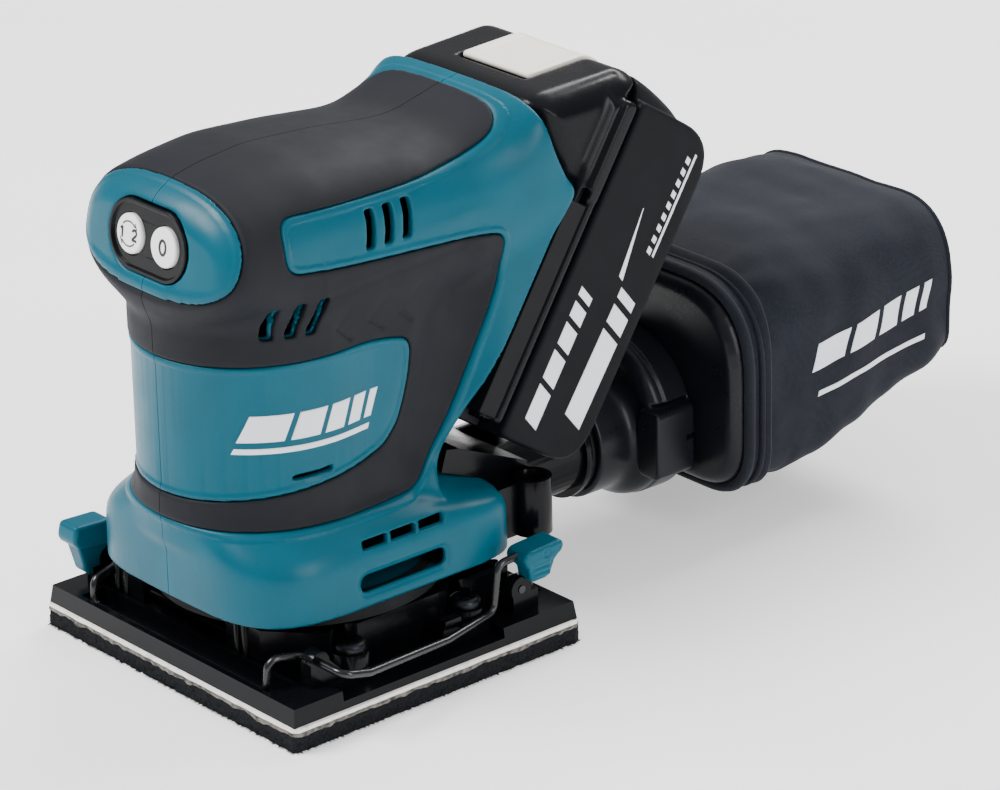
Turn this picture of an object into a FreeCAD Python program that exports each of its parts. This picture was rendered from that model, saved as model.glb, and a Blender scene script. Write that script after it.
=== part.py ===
"""Cordless quarter-sheet palm sander: one STEP file for each physical piece, in millimetres.

The origin is the centre of the sanding face of the pad. +Z is up, the switch faces -Y, and the battery
and the dust bag are at the +Y end. Pairs that are alike on the left and the right are mirrored in X.
The rear paper clamp is the front one turned half a turn about Z, with its lever a little lower.
"""

import FreeCAD, Part
import math
import os

V = FreeCAD.Vector
X_AXIS, Y_AXIS, Z_AXIS = V(1, 0, 0), V(0, 1, 0), V(0, 0, 1)
WIDE = 80.0                      # half the width of a cutter that passes right through the sander
PIECES = {}

# Pad stack, from the floor up
PAD_X, PAD_Y = 112.0, 102.0
FOAM_TOP = 5.5
PLATE_TOP = 7.2
RIM_TOP = 12.4
BASE_X, BASE_Y = 110.0, 100.6
BASE_FLOOR = 9.5
TROUGH_FLOOR = 7.8
BOX_TOP = 21.8
SCREW_SEAT = 16.6

# Drive
SHAFT_Y = -4.0
ECCENTRICITY = 0.75
SHAFT_R = 4.0
BEARING_R = 11.0
FAN_R = 26.4
FIT = 0.05                       # radial clearance of a running fit

# Paper clamps
WIRE_R = 1.15
PIVOT_Y, PIVOT_Z = -35.0, 19.0
REAR_LEVER_DROP = 2.5          # the rear lever sits this much lower than the front one
EAR_HOLE_R = WIRE_R + FIT

# Housing
WALL = 2.6
SKIN = 1.5                       # thickness of the soft overmould
SKIRT_BOTTOM = 27.0
BARREL_R, BARREL_Y = 34.0, -16.0
COLUMN_X = 32.8
HEAD_X = 34.6

# Battery: its own axes are X, outward from the tool, and up along the slide
BATTERY_TILT = 33.1              # degrees from vertical
BATTERY_ORIGIN = V(0, 38.4, 60.0)
BATTERY_X = 37.3
BATTERY_LENGTH = 100.4
BATTERY_DEPTH = 33.7
UPPER_X = 34.4
UPPER_OUT = -6.8                 # inner face of the upper shell, along the outward direction
DOCK_GAP = 0.4
DOCK_X = 36.4
DOCK_BACK = -10.1
CELL_R, CELL_LENGTH = 9.0, 65.0

# Switch
PANEL_TILT = 7.8                 # degrees, the panel leans back
PANEL_CENTRE = V(0, -50.6, 130.9)
PANEL_X, PANEL_Z = 16.7, 9.8
BUTTON_X = 7.4
BUTTON_R = 5.5

# Dust duct and bag
DUCT_Z = 31.0
PIPE_R, PIPE_BORE = 14.2, 12.2
PIPE_END = 103.0
POST_X, POST_Y, POST_R, POST_TOP = 36.5, 50.5, 5.7, 44.7
DRUM_Z, DRUM_R = 34.7, 24.7
DRUM_FRONT, DRUM_BACK = 108.0, 123.0
FRAME_Z = 47.4
FRAME_X, FRAME_HALF_Z = 42.5, 30.5
BAG_END = 217.0
BAG_WALL = 1.2


# ---------------------------------------------------------------- helpers

def box(low, high):
    low, high = V(*low), V(*high)
    size = high - low
    return Part.makeBox(size.x, size.y, size.z, low)


def rod(radius, start, end):
    start, end = V(*start), V(*end)
    return Part.makeCylinder(radius, (end - start).Length, start, end - start)


def ring(outer, inner, start, end):
    return rod(outer, start, end).cut(rod(inner, start, end))


def prism_x(points, low, high):
    """A polygon of (y, z) points extruded along X."""
    wire = Part.makePolygon([V(low, y, z) for y, z in points + points[:1]])
    return Part.Face(wire).extrude(V(high - low, 0, 0))


def prism_z(points, low, high):
    """A polygon of (x, y) points extruded along Z."""
    wire = Part.makePolygon([V(x, y, low) for x, y in points + points[:1]])
    return Part.Face(wire).extrude(V(0, 0, high - low))


def smooth_wire(points):
    curve = Part.BSplineCurve()
    curve.interpolate(Points=points, PeriodicFlag=True)
    return Part.Wire([curve.toShape()])


def oval(centre, across, up, half_a, half_b, power=2.6, count=20):
    """A closed smooth wire through points of a superellipse."""
    points = []
    for i in range(count):
        t = 2 * math.pi * (i + 0.5) / count
        c, s = math.cos(t), math.sin(t)
        a = half_a * math.copysign(abs(c) ** (2 / power), c)
        b = half_b * math.copysign(abs(s) ** (2 / power), s)
        points.append(centre + across * a + up * b)
    return smooth_wire(points)


def straight_edges(shape, direction):
    found = []
    for edge in shape.Edges:
        if edge.Curve.TypeId == "Part::GeomLine":
            if abs(abs(edge.Curve.Direction.dot(direction)) - 1) < 1e-6:
                found.append(edge)
    return found


def side_edges(shape, half_x):
    """Edges that lie in either side plane of a shape."""
    return [edge for edge in shape.Edges if abs(abs(edge.CenterOfMass.x) - half_x) < 0.01]


def rounded_box(low, high, radius, direction=Z_AXIS):
    solid = box(low, high)
    return solid.makeFillet(radius, straight_edges(solid, direction))


def bent_wire(points, radius, bend):
    """A round wire along straight runs joined by tangent arcs of the given bend radius."""
    turns = [V(*p) for p in points]
    edges = []
    start = turns[0]
    for before, corner, after in zip(turns, turns[1:], turns[2:]):
        into = (corner - before).normalize()
        out = (after - corner).normalize()
        half_angle = math.acos(max(-1, min(1, into.dot(out)))) / 2
        reach = bend * math.tan(half_angle)
        limit = 0.45 * min((corner - before).Length, (after - corner).Length)
        reach = min(reach, limit)
        enter, leave = corner - into * reach, corner + out * reach
        inward = (out - into).normalize()
        middle = corner + inward * bulge(reach, half_angle)
        edges.append(Part.LineSegment(start, enter).toShape())
        edges.append(Part.Arc(enter, middle, leave).toShape())
        start = leave
    edges.append(Part.LineSegment(start, turns[-1]).toShape())
    path = Part.Wire(edges)
    direction = turns[1] - turns[0]
    profile = Part.Wire([Part.makeCircle(radius, turns[0], direction)])
    return path.makePipeShell([profile], True, True)


def bulge(reach, half_angle):
    """How far the middle of a tangent arc is from its corner."""
    arc_radius = reach / math.tan(half_angle)
    return arc_radius / math.cos(half_angle) - arc_radius


def mirror_x(shape):
    return shape.mirror(V(0, 0, 0), X_AXIS)


def half_turn(shape):
    turned = shape.copy()
    turned.rotate(V(0, 0, 0), Z_AXIS, 180)
    return turned


def both_sides(shape):
    return [shape, mirror_x(shape)]


def left_half(shape):
    return shape.common(box((0, -WIDE, -5), (WIDE, 260, 200)))


def right_half(shape):
    return shape.common(box((-WIDE, -WIDE, -5), (0, 260, 200)))


def on_battery_axes(shape):
    placed = shape.copy()
    placed.rotate(V(0, 0, 0), X_AXIS, -BATTERY_TILT)
    placed.translate(BATTERY_ORIGIN)
    return placed


def on_panel_axes(shape):
    """Shapes made round the origin, with -Y outward, moved to the leaning switch panel."""
    placed = shape.copy()
    placed.rotate(V(0, 0, 0), X_AXIS, -PANEL_TILT)
    placed.translate(PANEL_CENTRE)
    return placed


def save(name, *shapes):
    PIECES[name] = Part.Compound(list(shapes)) if len(shapes) > 1 else shapes[0]


# ---------------------------------------------------------------- pad and its base

def foam_pad():
    return rounded_box((-PAD_X / 2, -PAD_Y / 2, 0), (PAD_X / 2, PAD_Y / 2, FOAM_TOP), 1.0)


def backing_plate():
    half_x, half_y = PAD_X / 2 - 0.4, PAD_Y / 2 - 0.4
    return rounded_box((-half_x, -half_y, FOAM_TOP), (half_x, half_y, PLATE_TOP), 1.0)


def base_tray():
    """The plate with its rim, the clamp troughs along the front and rear, and the arm recesses."""
    half_x, half_y = BASE_X / 2, BASE_Y / 2
    draft = 0.7
    low = Part.makePolygon([V(x, y, PLATE_TOP) for x, y in corners(half_x, half_y)])
    high = Part.makePolygon([V(x, y, RIM_TOP) for x, y in corners(half_x - draft, half_y - draft)])
    tray = Part.makeLoft([low, high], True, True)
    tray = tray.cut(box((-47.5, -38.5, BASE_FLOOR), (47.5, 38.5, 40)))
    trough = box((-43, -47.8, TROUGH_FLOOR), (42, -40.0, 40))
    arm_recess = box((48.6, -33, BASE_FLOOR), (WIDE, 24, 40))
    for cutter in (trough, arm_recess):
        tray = tray.cut(cutter).cut(half_turn(cutter))
    return tray


def corners(half_x, half_y):
    return [(-half_x, -half_y), (half_x, -half_y), (half_x, half_y), (-half_x, half_y), (-half_x, -half_y)]


def box_plan(inset):
    """Plan of the central box: two opposite corners are cut back for the clamp pivots."""
    x, y = 40.0 - inset, 38.0 - inset
    cut_x, cut_y = 25.4 - 0.4 * inset, 25.5 - 0.4 * inset
    return [(-x, -y), (cut_x, -y), (x, -cut_y), (x, y), (-cut_x, y), (-x, cut_y)]


def central_box():
    walls = prism_z(box_plan(0), BASE_FLOOR - 1, BOX_TOP)
    walls = walls.cut(prism_z(box_plan(2.4), BASE_FLOOR, BOX_TOP + 1))
    window = box((-27, -39, 12), (10.3, -35, 19.2))
    walls = walls.cut(window).cut(half_turn(window))
    rail = box((-27.5, -36.6, 14.8), (10.8, -35.7, 15.8))
    ribs = []
    for x in (-38.5, -34.5, 15.5, 19.0):
        ribs.append(rod(1.1, (x, -38, BASE_FLOOR - 1), (x, -38, BOX_TOP)))
    extras = [rail, half_turn(rail)] + ribs + [half_turn(rib) for rib in ribs]
    return walls.fuse(extras)


def bearing_boss():
    centre_y = SHAFT_Y + ECCENTRICITY
    boss = rod(15, (0, centre_y, BASE_FLOOR - 1), (0, centre_y, 24))
    ribs = []
    for angle in (20, 70, 110, 160, 200, 250, 290, 340):
        web = box((12, -1, BASE_FLOOR - 1), (34, 1, 16))
        web.rotate(V(0, 0, 0), Z_AXIS, angle)
        web.translate(V(0, centre_y, 0))
        ribs.append(web)
    boss = boss.fuse(ribs)
    seat = rod(BEARING_R + FIT, (0, centre_y, 14.6), (0, centre_y, 30))
    return boss.cut(seat)


def leg_places():
    return [(x, y) for x in (-24, 24) for y in (-26, 18)]


def leg_cups():
    cups = []
    for x, y in leg_places():
        cup_y = y + ECCENTRICITY
        cups.append(ring(8.6, 6.6, (x, cup_y, BASE_FLOOR - 1), (x, cup_y, 16)))
    return cups


def screw_places():
    return [(42.2, -20.3), (42.2, 20.3), (-42.2, -20.3), (-42.2, 20.3)]


def pivot_supports():
    """The ear at one corner and the pivot block at the other, for the front clamp."""
    ear = box((-49.4, PIVOT_Y - 6, BASE_FLOOR - 1), (-46, PIVOT_Y + 3, PIVOT_Z - 1.4))
    ear = ear.fuse(rod(3.6, (-49.4, PIVOT_Y, PIVOT_Z), (-46, PIVOT_Y, PIVOT_Z)))
    block = box((43.2, PIVOT_Y - 3.2, BASE_FLOOR - 1), (47.6, PIVOT_Y + 3.2, PIVOT_Z))
    block = block.fuse(rod(3.2, (43.2, PIVOT_Y, PIVOT_Z), (47.6, PIVOT_Y, PIVOT_Z)))
    gusset = prism_x([(-31.9, RIM_TOP - 3), (-22.5, RIM_TOP - 3), (-31.9, 19)], 46.2, 47.6)
    hole = rod(EAR_HOLE_R, (-60, PIVOT_Y, PIVOT_Z), (60, PIVOT_Y, PIVOT_Z))
    return ear.fuse([block, gusset]).cut(hole)


def arm_catch():
    """A hook beside the long arm of the front clamp, near its lever."""
    post = box((45.4, 8, BASE_FLOOR - 1), (47.8, 13.6, 15.8))
    nose = box((45.4, 8, 15.8), (48.7, 13.6, 17.4))
    return post.fuse(nose)


def pad_base():
    base = base_tray().fuse([central_box(), bearing_boss()] + leg_cups())
    bosses = [rod(5.4, (x, y, BASE_FLOOR - 1), (x, y, SCREW_SEAT)) for x, y in screw_places()]
    supports, catch = pivot_supports(), arm_catch()
    base = base.fuse(bosses + [supports, half_turn(supports), catch, half_turn(catch)])
    for x, y in screw_places():
        base = base.cut(rod(1.9, (x, y, PLATE_TOP - 1), (x, y, 20)))
        base = base.cut(rod(5.0, (x, y, SCREW_SEAT), (x, y, 26)))
    return base.removeSplitter()


def pan_screw(place, head_r=4.5, shank_r=1.85, seat=SCREW_SEAT, tip=PLATE_TOP):
    x, y = place
    head = rod(head_r, (x, y, seat), (x, y, seat + 2.8))
    rim = [e for e in head.Edges if e.Curve.TypeId == "Part::GeomCircle" and e.Curve.Center.z > seat + 1]
    head = head.makeFillet(1.6, rim)
    head = head.fuse(rod(shank_r, (x, y, tip), (x, y, seat)))
    for angle in (0, 90):
        slot = box((-2.4, -0.5, seat + 1.4), (2.4, 0.5, seat + 4))
        slot.rotate(V(0, 0, 0), Z_AXIS, angle + 25)
        slot.translate(V(x, y, 0))
        head = head.cut(slot)
    return head


# ---------------------------------------------------------------- paper clamps

def clamp_route(drop=0):
    """Front clamp: ear pin, crank, bar along the front, crank, pivot, long arm, and up to the lever."""
    bar_y, bar_z = -46.3, 10.4
    return [
        (-49.7, PIVOT_Y, PIVOT_Z),
        (-42.0, PIVOT_Y, PIVOT_Z),
        (-40.0, bar_y + 1, PIVOT_Z - 1.5),
        (-39.6, bar_y, bar_z),
        (38.2, bar_y, bar_z),
        (38.6, bar_y + 0.6, PIVOT_Z + 1.4),
        (40.4, PIVOT_Y, PIVOT_Z),
        (57.6, PIVOT_Y, PIVOT_Z),
        (57.4, -26.0, 16.8),
        (51.8, 6.0, 13.8),
        (47.8, 26.0, 14.4),
        (47.6, 28.0, 28.0 - drop),
        (48.2, 39.0, 29.1 - drop),
    ]


def clamp_wire(drop=0):
    return bent_wire(clamp_route(drop), WIRE_R, 3.2)


def clamp_lever(drop=0):
    """Paddle on the end of the wire: a wedge to press on, and a ribbed tab to push."""
    side = [(33.8, 28.6), (35.0, 26.2), (47.0, 27.0), (48.6, 29.2), (47.6, 31.2), (35.2, 30.4)]
    wedge = prism_x(side, 44.0, 52.4)
    wedge = wedge.makeFillet(1.0, straight_edges(wedge, X_AXIS))
    tab = prism_x([(36.4, 21.4), (43.0, 21.6), (45.2, 28.0), (35.8, 28.0)], 49.9, 52.2)
    lever = wedge.fuse(tab)
    ribs = []
    for step in range(3):
        height = 22.8 + 1.7 * step
        ribs.append(rod(0.55, (52.2, 37.6, height), (52.2, 43.0, height)))
    lever = lever.fuse(ribs)
    lever.translate(V(0, 0, -drop))
    return lever.cut(clamp_wire(drop))


# ---------------------------------------------------------------- drive inside the housing

def ball_bearing(outer, bore, centre_y, low, high):
    return ring(outer, bore, (0, centre_y, low), (0, centre_y, high))


def motor_shaft():
    pin_y = SHAFT_Y + ECCENTRICITY
    shaft = rod(SHAFT_R, (0, SHAFT_Y, 26), (0, SHAFT_Y, 97))
    pin = rod(SHAFT_R, (0, pin_y, 15.2), (0, pin_y, 26))
    collar = rod(6, (0, pin_y, 22.6), (0, pin_y, 26))
    return shaft.fuse([pin, collar]).removeSplitter()


def rotor():
    return ring(12.4, SHAFT_R, (0, SHAFT_Y, 58), (0, SHAFT_Y, 84))


def stator_core():
    core = ring(23.5, 20, (0, SHAFT_Y, 58), (0, SHAFT_Y, 84))
    teeth = []
    for step in range(6):
        tooth = box((13.4, -2.2, 58), (20.5, 2.2, 84)).fuse(box((12.9, -4.6, 58), (14.6, 4.6, 84)))
        tooth = tooth.cut(rod(12.9, (0, 0, 50), (0, 0, 90)))
        tooth.rotate(V(0, 0, 0), Z_AXIS, 60 * step)
        tooth.translate(V(0, SHAFT_Y, 0))
        teeth.append(tooth)
    return core.fuse(teeth)


def stator_windings():
    coils = []
    for step in range(6):
        coil = box((14.8, -5.2, 55), (19.6, 5.2, 87)).cut(box((14, -2.3, 57.9), (21, 2.3, 84.1)))
        coil = coil.cut(box((12.0, -5.2, 57.9), (14.7, 5.2, 84.1)))
        coil = coil.common(rod(19.8, (0, 0, 50), (0, 0, 90)))
        coil.rotate(V(0, 0, 0), Z_AXIS, 60 * step)
        coil.translate(V(0, SHAFT_Y, 0))
        coils.append(coil)
    return coils


def fan():
    hub = ring(8, SHAFT_R, (0, SHAFT_Y, 31), (0, SHAFT_Y, 41))
    disc = ring(FAN_R, 7.5, (0, SHAFT_Y, 39.4), (0, SHAFT_Y, 41))
    blades = []
    for step in range(12):
        blade = box((10, -0.7, 31.5), (FAN_R, 0.7, 39.6))
        blade.rotate(V(10, 0, 0), Z_AXIS, 24)
        blade = blade.common(rod(FAN_R - 0.3, (0, 0, 30), (0, 0, 42)))
        blade.rotate(V(0, 0, 0), Z_AXIS, 30 * step)
        blade.translate(V(0, SHAFT_Y, 0))
        blades.append(blade)
    return hub.fuse([disc] + blades)


def counterweight():
    weight = ring(17, 6.1, (0, SHAFT_Y, 26), (0, SHAFT_Y, 30.5))
    front = box((-20, SHAFT_Y - 20, 25), (20, SHAFT_Y + 2, 31))
    hub = ring(8, SHAFT_R, (0, SHAFT_Y, 26.2), (0, SHAFT_Y, 30.5))
    return weight.common(front).fuse(hub)


def bearing_plate():
    """Plate across the top of the skirt that carries the lower bearing and the tops of the legs."""
    plate = rounded_box((-32, -36, 43), (32, 26, 46), 12)
    boss = rod(14, (0, SHAFT_Y, 43), (0, SHAFT_Y, 53))
    plate = plate.fuse(boss)
    for x, y in leg_places():
        plate = plate.cut(rod(4.0, (x, y, 42), (x, y, 48)))
    return plate.cut(rod(BEARING_R, (0, SHAFT_Y, 42), (0, SHAFT_Y, 60)))


def support_legs():
    legs = []
    for x, y in leg_places():
        leg = rod(3.4, (x, y, 12), (x, y, 43))
        for low, high in ((11, 15.4), (38, 43)):
            leg = leg.fuse(rod(5.0, (x, y, low), (x, y, high)))
        legs.append(leg.fuse(rod(4.0, (x, y, 43), (x, y, 46))))
    return legs


def dust_seal():
    return ring(40.6, 38.0, (0, SHAFT_Y, BOX_TOP + 0.5), (0, SHAFT_Y, 30))


# ---------------------------------------------------------------- housing and its soft overmould

def skirt_section(z, half_x, front, rear, inset):
    middle = (front + rear) / 2
    half_y = (rear - front) / 2
    return oval(V(0, middle, z), X_AXIS, Y_AXIS, half_x - inset, half_y - inset, 3.6, 24)


def skirt(inset):
    """The wide bottom of the housing, over the pad. An inner one is open at the bottom."""
    bottom = SKIRT_BOTTOM - (2 if inset else 0)
    upright = [
        skirt_section(bottom, 43.9, -49.5, 43.0, inset),
        skirt_section(41.5 - inset / 2, 43.6, -49.5, 42.7, inset),
    ]
    shoulder = [
        skirt_section(41.5 - inset / 2, 43.6, -49.5, 42.7, inset),
        skirt_section(46.5 - inset, 41.0, -49.5, 38.5, inset),
        skirt_section(52.5 - inset, 34.0, -49.6, 27.5, inset),
    ]
    return Part.makeLoft(upright, True, True).fuse(Part.makeLoft(shoulder, True, True))


def barrel(inset):
    return rod(BARREL_R - inset, (0, BARREL_Y, 45 + inset), (0, BARREL_Y, 113 - inset))


def behind_limit(inset):
    """Side view of the back of the housing: up beside the dock, then along the battery's raised block."""
    points = [
        (-62, 46), (19.6, 46), (22.2, 53.9), (68.1, 124.2), (61.3, 138.0), (58.9, 149.2), (58.6, 160),
        (-62, 160),
    ]
    wire = Part.makePolygon([V(0, y, z) for y, z in points + points[:1]])
    face = Part.Face(wire)
    return face.makeOffset2D(-inset) if inset else face


def column(inset):
    half_x = COLUMN_X - inset
    face = behind_limit(inset)
    face.translate(V(-half_x, 0, 0))
    solid = face.extrude(V(2 * half_x, 0, 0))
    return solid.common(box((-WIDE, BARREL_Y, 44 + inset), (WIDE, 90, 126 - inset)))


def head(inset):
    """The grip: from the round front with the switch, over the hump, back to the battery."""
    stations = [
        (-50.9, 137.0, 122.5, 18.5),
        (-50.2, 142.0, 117.0, 27.0),
        (-47.6, 144.6, 112.6, 32.0),
        (-43.0, 145.8, 109.0, 34.2),
        (-33.0, 148.3, 103.0, 34.6),
        (-17.0, 149.9, 100.0, 34.6),
        (5.0, 148.6, 98.0, 34.6),
        (27.0, 146.0, 98.0, 34.4),
        (41.0, 147.6, 100.0, 34.0),
        (52.0, 150.6, 104.0, 33.4),
        (72.0, 150.8, 106.0, 33.0),
    ]
    wires = []
    for y, top, bottom, half_x in stations:
        y = y + inset if y < -49 else y
        centre = V(0, y, (top + bottom) / 2)
        wires.append(oval(centre, X_AXIS, Z_AXIS, half_x - inset, (top - bottom) / 2 - inset, 2.9))
    face = behind_limit(inset)
    face.translate(V(-WIDE, 0, 0))
    return Part.makeLoft(wires, True, False).common(face.extrude(V(2 * WIDE, 0, 0)))


def body(inset):
    return skirt(inset).fuse([barrel(inset), column(inset), head(inset)])


def soft_zone():
    """Side view of the overmould, cut right through in X, less the window at the front of the barrel."""
    outline = [
        (-62, 110), (-50, 114), (-40.7, 146), (-37, 160), (53.7, 160), (53.6, 150.4), (50.5, 149), (46, 147),
        (39, 144.3), (25, 140.8), (3, 138.4), (-24, 139.6), (-30, 138), (-32, 133), (-30.7, 128),
        (-26, 124.8), (-11, 122.6), (22, 121), (33, 119.4), (40, 116.2), (43, 110.3), (40, 98.8),
        (32.7, 82), (21.8, 64.4), (13.5, 54.5), (4.3, 51.4), (-12.5, 50.8), (-62, 50.6),
    ]
    window = [
        (-62, 97.4), (0.5, 97.6), (7.1, 94.9), (10.8, 89.2), (9.6, 80), (6.3, 72.8), (-0.7, 66.4),
        (-17.5, 63), (-40, 59.4), (-62, 58.4),
    ]
    return prism_x(outline, -WIDE, WIDE).cut(prism_x(window, -WIDE, WIDE))


def slanted_slot(y, low, high, width, lean):
    """Side view slot, cut in from either side: its top leans forward or back."""
    front, back = y - width / 2, y + width / 2
    return prism_x([(front, low), (back, low), (back + lean, high), (front + lean, high)], 24, WIDE)


def vents():
    cutters = []
    for step in range(3):
        cutters.append(slanted_slot(-2.6 + 6.4 * step, 125.4, 136.4, 2.5, -0.8))
        cutters.append(slanted_slot(-36.4 + 7.4 * step, 107.4, 115.4, 2.6, 3.4))
    for step in range(3):
        start = -16.2 + 9.6 * step
        cutters.append(box((24, start, 43.5), (WIDE, start + 8, 46.7)))
    long_slot = rounded_box((36, -16, 31.6), (WIDE, 12.4, 36.8), 2.2, X_AXIS)
    cutters.append(long_slot)
    return cutters + [mirror_x(cutter) for cutter in cutters]


def housing_screw_places():
    return [(-40, 62), (-38, 104), (27.6, 73.5), (40, 97), (43, 138.5)]


def housing_screw(y, z):
    head_end, tip = -17.5, 14
    screw = rod(3.1, (head_end - 2.4, y, z), (head_end, y, z)).fuse(rod(1.5, (head_end, y, z), (tip, y, z)))
    for angle in (0, 90):
        slot = box((-WIDE, -0.5, -2.1), (head_end - 1.2, 0.5, 2.1))
        slot.rotate(V(0, 0, 0), X_AXIS, angle)
        slot.translate(V(0, y, z))
        screw = screw.cut(slot)
    return screw


def inner_supports(outside):
    """Screw bosses, the seat of the upper bearing and the ribs beside the stator."""
    parts = [rod(4.2, (-WIDE, y, z), (WIDE, y, z)) for y, z in housing_screw_places()]
    seat = rod(10.6, (0, SHAFT_Y, 89.5), (0, SHAFT_Y, 98.5))
    seat = seat.cut(rod(8, (0, SHAFT_Y, 80), (0, SHAFT_Y, 96.2)))
    seat = seat.cut(rod(5, (0, SHAFT_Y, 80), (0, SHAFT_Y, 110)))
    parts.append(seat)
    for side in (-1, 1):
        web = box((9.5, SHAFT_Y - 1.2, 91), (33, SHAFT_Y + 1.2, 97))
        rib = box((23.6, SHAFT_Y - 1.2, 60), (33, SHAFT_Y + 1.2, 82))
        parts += [web, rib] if side > 0 else [mirror_x(web), mirror_x(rib)]
    return parts[0].fuse(parts[1:]).common(outside)


def switch_opening():
    return on_panel_axes(stadium(PANEL_X + 0.1, PANEL_Z + 0.1, -6, 12))


def stadium(half_x, half_z, low, high):
    """A flat oval with round ends, from y = low to y = high."""
    middle = box((-(half_x - half_z), low, -half_z), (half_x - half_z, high, half_z))
    ends = [rod(half_z, (x, low, 0), (x, high, 0)) for x in (half_z - half_x, half_x - half_z)]
    return middle.fuse(ends).removeSplitter()


def blade_slots(grow):
    slots = []
    for x in (-9, 9):
        half = 0.6 + grow
        slots.append(on_battery_axes(box((x - half, -19.5 - grow, 60), (x + half, -14.5 + grow, 87))))
    return slots


def housing_and_grips():
    outside = body(0)
    skin = outside.cut(body(SKIN)).common(soft_zone())
    shell = outside.cut(body(WALL)).cut(skin)
    shell = shell.fuse(inner_supports(outside.common(body(SKIN))))
    cutters = vents() + blade_slots(0.5) + [switch_opening()]
    cutters.append(box((-21, 36, 30.5), (21, 60, 41)))
    for y, z in housing_screw_places():
        cutters.append(rod(1.5, (-WIDE, y, z), (14, y, z)))
        cutters.append(rod(3.2, (-WIDE, y, z), (-17.5, y, z)))
    for cutter in cutters:
        shell = shell.cut(cutter)
        skin = skin.cut(cutter)
    return shell, skin, outside


# ---------------------------------------------------------------- switch

def switch_bezel():
    plate = stadium(PANEL_X, PANEL_Z, 0.2, 3.4)
    plate = plate.cut(stadium(PANEL_X - 1.2, PANEL_Z - 1.2, -3, 0.9))
    for x in (-BUTTON_X, BUTTON_X):
        plate = plate.cut(rod(BUTTON_R + 0.3, (x, -5, 0), (x, 5, 0)))
    return on_panel_axes(plate)


def switch_button(x):
    cap = rod(BUTTON_R, (x, -0.1, 0), (x, 3.8, 0))
    front = [e for e in cap.Edges if e.Curve.TypeId == "Part::GeomCircle" and e.Curve.Center.y < 0]
    return on_panel_axes(cap.makeFillet(0.7, front))


def switch_board():
    board = box((-16, 6.4, -9), (16, 8.0, 9))
    for x in (-BUTTON_X, BUTTON_X):
        board = board.fuse(box((x - 3, 5.0, -3), (x + 3, 6.4, 3)))
    return on_panel_axes(board)


# ---------------------------------------------------------------- electronics in the housing

def controller_board():
    board = box((-22, -12, 102.4), (22, 33, 104))
    for x, y, radius, height in ((12, 24, 5, 16), (0, 24, 5, 16), (-12, 24, 4, 12)):
        board = board.fuse(rod(radius, (x, y, 104), (x, y, 104 + height)))
    for step in range(6):
        board = board.fuse(box((-17 + 6 * step, -6, 104), (-13 + 6 * step, 2, 106)))
    return board


def heat_sink():
    sink = box((-20, 6, 104), (20, 17, 106))
    for step in range(8):
        sink = sink.fuse(box((-19 + 5 * step, 6, 106), (-17.6 + 5 * step, 17, 114)))
    return sink


def terminal_block():
    block = box((-14, -24, 50), (14, -13.4, 65))
    return on_battery_axes(block).cut(blade_slots(0)[0]).cut(blade_slots(0)[1])


def terminal_blades():
    return [on_battery_axes(box((x - 0.6, -19.5, 60), (x + 0.6, -14.5, 84))) for x in (-9, 9)]


# ---------------------------------------------------------------- battery and its dock

def battery_dock():
    plate = box((-DOCK_X, DOCK_BACK, 4), (DOCK_X, UPPER_OUT - DOCK_GAP, 67.5))
    stop = box((-30, DOCK_BACK, 0.4), (30, -2.2, 2.5))
    stop = stop.fuse(box((-30, DOCK_BACK, 0.4), (30, UPPER_OUT - DOCK_GAP, 5)))
    walls = []
    for side in both_sides(box((UPPER_X + DOCK_GAP, DOCK_BACK, 4), (DOCK_X, -3.4, 67.5))):
        walls.append(side)
    for side in both_sides(box((33.6, -5.1, 4), (UPPER_X + 1, -4.3, 66))):
        walls.append(side)
    return on_battery_axes(plate.fuse([stop] + walls))


def battery_lower_shell():
    shell = box((-BATTERY_X, 0, 0), (BATTERY_X, BATTERY_DEPTH, BATTERY_LENGTH))
    across = [e for e in straight_edges(shell, X_AXIS) if e.CenterOfMass.y > 1]
    shell = shell.makeFillet(11, across)
    rim = [e for e in side_edges(shell, BATTERY_X) if e.CenterOfMass.y > 0.5]
    shell = shell.makeFillet(2.0, rim)
    inner = box((-BATTERY_X + 2, -1, 1.6), (BATTERY_X - 2, BATTERY_DEPTH - 1.6, BATTERY_LENGTH - 1.6))
    inner = inner.makeFillet(9, [e for e in straight_edges(inner, X_AXIS) if e.CenterOfMass.y > 1])
    return on_battery_axes(shell.cut(inner))


def raised_block(inset):
    points = [
        (-1, 66), (-1, 107), (-4.5, 107), (-28, 89.6), (-30.6, 86), (-23, 78.3), (UPPER_OUT, 68.7),
        (UPPER_OUT, 66),
    ]
    wire = Part.makePolygon([V(0, n, u) for n, u in points + points[:1]])
    face = Part.Face(wire)
    if inset:
        face = face.makeOffset2D(-inset)
    half_x = 31.5 - inset
    face.translate(V(-half_x, 0, 0))
    block = face.extrude(V(2 * half_x, 0, 0))
    if not inset:
        edges = [e for e in side_edges(block, half_x) if e.CenterOfMass.y < -8]
        block = block.makeChamfer(3.0, edges)
    return block


def battery_upper_shell():
    plate = box((-UPPER_X, UPPER_OUT, 3), (UPPER_X, 0, 102))
    plate = plate.makeFillet(1.5, [e for e in straight_edges(plate, Z_AXIS) if e.CenterOfMass.y < -1])
    shell = plate.fuse(raised_block(0))
    shell = shell.cut(box((-32.7, -4.9, 4.8), (32.7, 1, 100))).cut(raised_block(1.8))
    for side in both_sides(box((33.3, -5.4, -1), (WIDE, -4.0, 72))):
        shell = shell.cut(side)
    pocket = [(-23.2, 92.6), (-23.2, 116), (12, 116), (12, 105.4), (-0.1, 105.4), (-17.2, 92.4)]
    wire = Part.makePolygon([V(-14.9, n, u) for n, u in pocket + pocket[:1]])
    shell = on_battery_axes(shell.cut(Part.Face(wire).extrude(V(29.8, 0, 0))))
    for slot in blade_slots(0.7):
        shell = shell.cut(slot)
    return shell


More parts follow.
